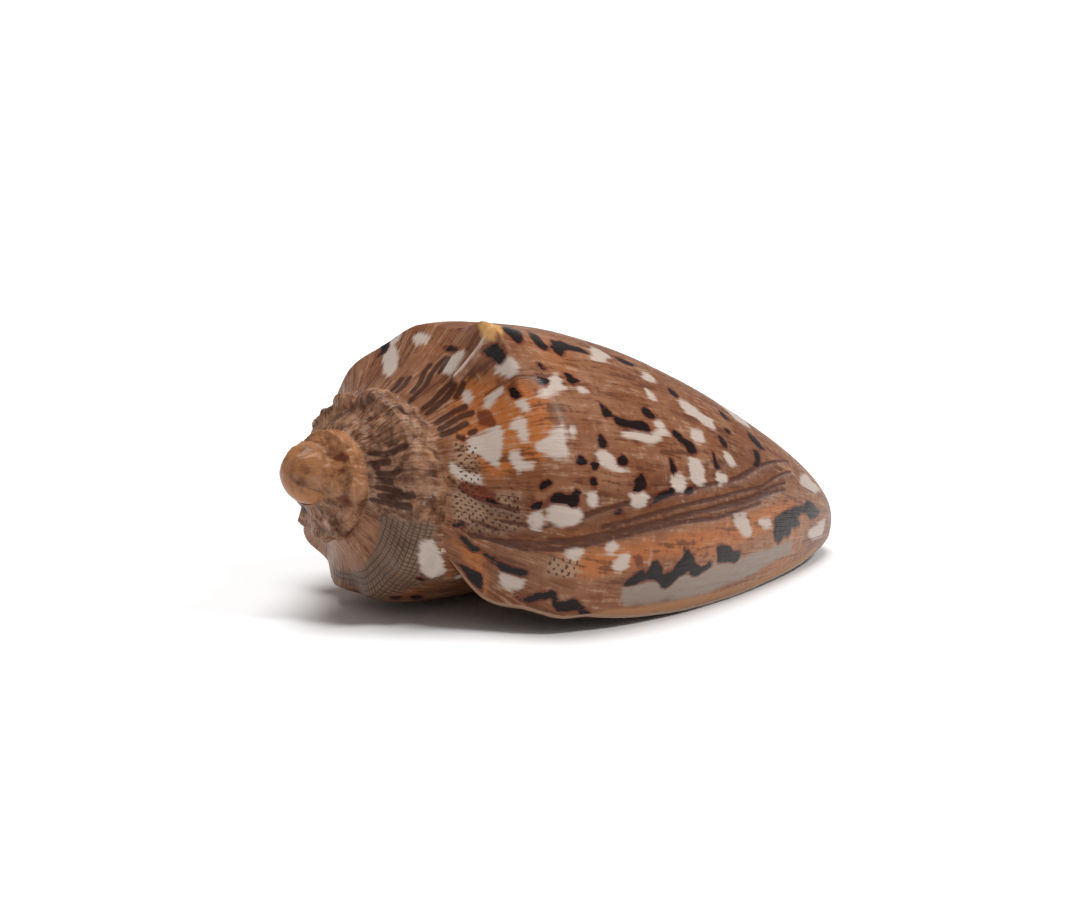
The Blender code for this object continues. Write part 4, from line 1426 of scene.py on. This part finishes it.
def mark_group():
    """How much of a mark shows: its depth made ragged by a noise, cut off over a soft edge."""
    values = {"Depth": 0.0, "Noise": 0.0, "Raggedness": 0.2, "Widening": 0.0, "Softness": 0.15}
    tree, _, leaving, inputs = new_shader_group("ragged mark", values, "Mark")
    depth, noise, raggedness, widening, softness = inputs.values()
    mark = ((depth + widening + noise * raggedness) / softness + 0.5).eased()
    tree.links.new(mark.value, leaving.inputs[0])
    return tree


def patterned_finish(striae_tree, mark_tree):
    """Outside of the shell: orange to pink-brown ground with striae, pale tents and dark blotches."""
    finish = Finish("patterned shell", GROUND_BROWN, striae_tree)
    turn = finish.turn
    across = finish.across
    broad = finish.noise(BROAD_SCALE, 2.0)
    blotchy = finish.noise(BLOTCH_SCALE, 4.0)
    fine = finish.noise(FINE_SCALE)
    mottle = finish.noise(MOTTLE_SCALE, 4.0, 0.7)
    striae = finish.striae(*FINE_STRIAE)
    slow_striae = finish.striae(*SLOW_STRIAE)
    broken = finish.striae(*BROKEN_STRIAE)
    cords = finish.striae(*SPIRAL_CORDS)
    jagged = fine * 0.5 + striae * 1.1
    grown = ((turn - STRIAE_TURN) / 0.3).eased()
    spire = ((SPIRE_TURN - turn) / 0.05).eased()
    apex = ((APEX_TURN - turn) / 0.3).eased()

    def mark(name, raggedness, widening, softness, noise=fine):
        values = {"Depth": finish.number(name), "Noise": noise, "Raggedness": raggedness,
                  "Widening": widening, "Softness": softness}
        return finish.group(mark_tree, values)

    finish.lay(GROUND_PINK, (broad * 0.45 + blotchy * 0.5 + 0.42).eased())
    finish.lay(GROUND_ORANGE, (broad * 1.1 - blotchy * 0.4 + 0.05).eased() * 0.5)
    finish.lay(GROUND_ORANGE, mark("orange", 1.2, 0.3, 2.0, blotchy) * 0.9)
    finish.lay(CREAM_GROUND, mark("cream", 0.5, 0.0, 1.2, blotchy) * 0.7)
    finish.lay(finish.mix(SPIRE_BROWN, SPIRE_PINK, (mottle * 1.1 + 0.55).eased()), spire)
    finish.lay(SPIRE_PALE, spire * (blotchy * 1.3 + mottle * 1.1 - 0.5).eased() * 0.9)
    finish.lay(APEX_ORANGE, apex * (mottle * 0.6 + 0.75).eased() * 0.85)

    band = mark("band", 0.5, 0.2, 0.8, blotchy)
    finish.lay(REST_BROWN, band * (0.55 + slow_striae * 0.9 + striae * 0.4).eased() * 0.8)
    finish.lay(PALE_TENT, (cords * 1.3 + broken * 0.6 - 0.35).eased() * grown * 0.5)
    finish.lay(STRIA_DARK, (cords * -1.2 + slow_striae * 0.6 - 0.45).eased() * grown * 0.4)
    streaks = striae * 1.1 + slow_striae * 1.0 + broken * 0.7
    finish.lay(STRIA_PALE, (streaks * 1.5 - 0.25).eased() * grown * 0.7)
    finish.lay(STRIA_DARK, (streaks * -1.6 - 0.05).eased() * grown * 0.75)
    finish.lay(REST_LINE, band * (slow_striae * 2.4 - 0.35).eased() * 0.6)
    finish.lay(REST_LINE, mark("rests", 0.18, 0.26, 0.24, jagged) * 0.9)

    finish.lay(ASHEN_GROUND, mark("ashen", 0.5, 0.0, 1.0, blotchy) * (0.85 + striae * 0.25))
    net_and_shade_zone = mark("net", 0.4, 0.0, 1.0)
    arcs = (across * (2.0 * math.pi / NET_STEP) + fine * 1.2).worked("SINE")
    spokes = (turn * (2.0 * math.pi * NET_SPOKES) + fine * 1.2).worked("SINE")
    # Darker ground in the net zone: partly the shell's colour, partly painted shade of the underside
    finish.lay(NET_GROUND_AND_SHADE, net_and_shade_zone * 0.8)
    finish.lay(NET_DARK, net_and_shade_zone * (arcs.greatest(spokes) * 2.0 - 0.9).eased() * 0.8)

    finish.lay(PALE_TENT, (broken * 1.3 + blotchy * 0.6 - 0.6).eased() * grown * 0.6)
    pale = mark("pale", 0.5, 0.1, 0.7, blotchy * 0.7 + striae * 1.2)
    flecks = (fine * 0.9 + striae * 0.9 + broken * 0.5 - 0.3).eased()
    finish.lay(PALE_TENT, pale * (0.92 - flecks * 0.6))
    finish.lay(LIP_TAN, mark("lip", 0.2, 0.6, 0.5) * 0.9)
    # Painted highlight: a pale line along the crown nodule's crest, over the raised crest
    finish.lay(PAINTED_CREST_HIGHLIGHT, mark("crest", 0.1, 0.2, 0.3) * 0.85)
    finish.lay(CROWN_YELLOW, mark("crown", 0.4, 0.0, 0.8) * 0.9)
    finish.lay(BROWN_MARK, mark("brown", 0.25, 0.0, 0.5) * 0.85)
    finish.lay(DARK_MARK, ((fine - 0.85) * 3.0).eased() * 0.4)

    dot_rows = (across * (2.0 * math.pi / DOT_STEP) + fine * 2.6 + blotchy * 2.8).worked("SINE")
    dot_lines = (turn * (2.0 * math.pi * DOTS_PER_TURN) - fine * 2.4 + blotchy * 2.2).worked("SINE")
    dots = (dot_rows * dot_lines * 3.0 - 1.0 + fine * 0.6).eased()
    finish.lay(LINE_BROWN, dots * mark("cream", 0.3, -0.1, 0.5) * 0.85)
    finish.lay(LINE_BROWN, mark("lines", 0.14, 0.42, 0.3, jagged) * 0.9)
    finish.lay(BROWN_MARK, mark("dark", 0.3, 0.28, 0.3, jagged) * 0.7)
    dark = mark("dark", 0.3, 0.05, 0.14, jagged)
    finish.lay(DARK_MARK, dark)

    height = (striae * 0.6 + slow_striae * 0.5) * grown + fine * 0.25
    inputs = {"Height": height, "Distance": BUMP_DEPTH, "Strength": 0.5}
    bump = add_node(finish.tree, "ShaderNodeBump", inputs)
    finish.tree.links.new(bump.outputs[0], finish.shader.inputs["Normal"])
    finish.shader.inputs["Specular IOR Level"].default_value = 0.18
    return finish.done(0.37 + fine * 0.05 + slow_striae * 0.04 - dark * 0.06, 0.04, 0.15)


def enamel_finish(name, colour, deep_colour, striae_tree):
    """Smooth enamel of the lip or of the aperture, with faint growth striae."""
    finish = Finish(name, colour, striae_tree)
    cloud = finish.noise(CLOUD_SCALE)
    finish.lay(deep_colour, (finish.striae(*ENAMEL_STRIAE) * 0.35 + cloud * 0.45 + 0.45).eased())
    return finish.done(0.24, 0.4, 0.1)


striae = striae_group()
finishes = [
    patterned_finish(striae, mark_group()),
    enamel_finish("lip enamel", LIP_CREAM, LIP_DEEP, striae),
    enamel_finish("aperture enamel", INSIDE_CREAM, INSIDE_DEEP, striae),
]
shell, shell_move = wind_shell(finishes)
eye, eye_axes, eye_focal = look_from(shell_move)
mark_shell(shell.data, Sight(shell.data, eye, eye_axes, eye_focal, shell_move))
raise_rests(shell)
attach(shell, "root")
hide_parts("volute_shell")
add_camera(eye, eye_axes, eye_focal)
add_floor()
light_scene()
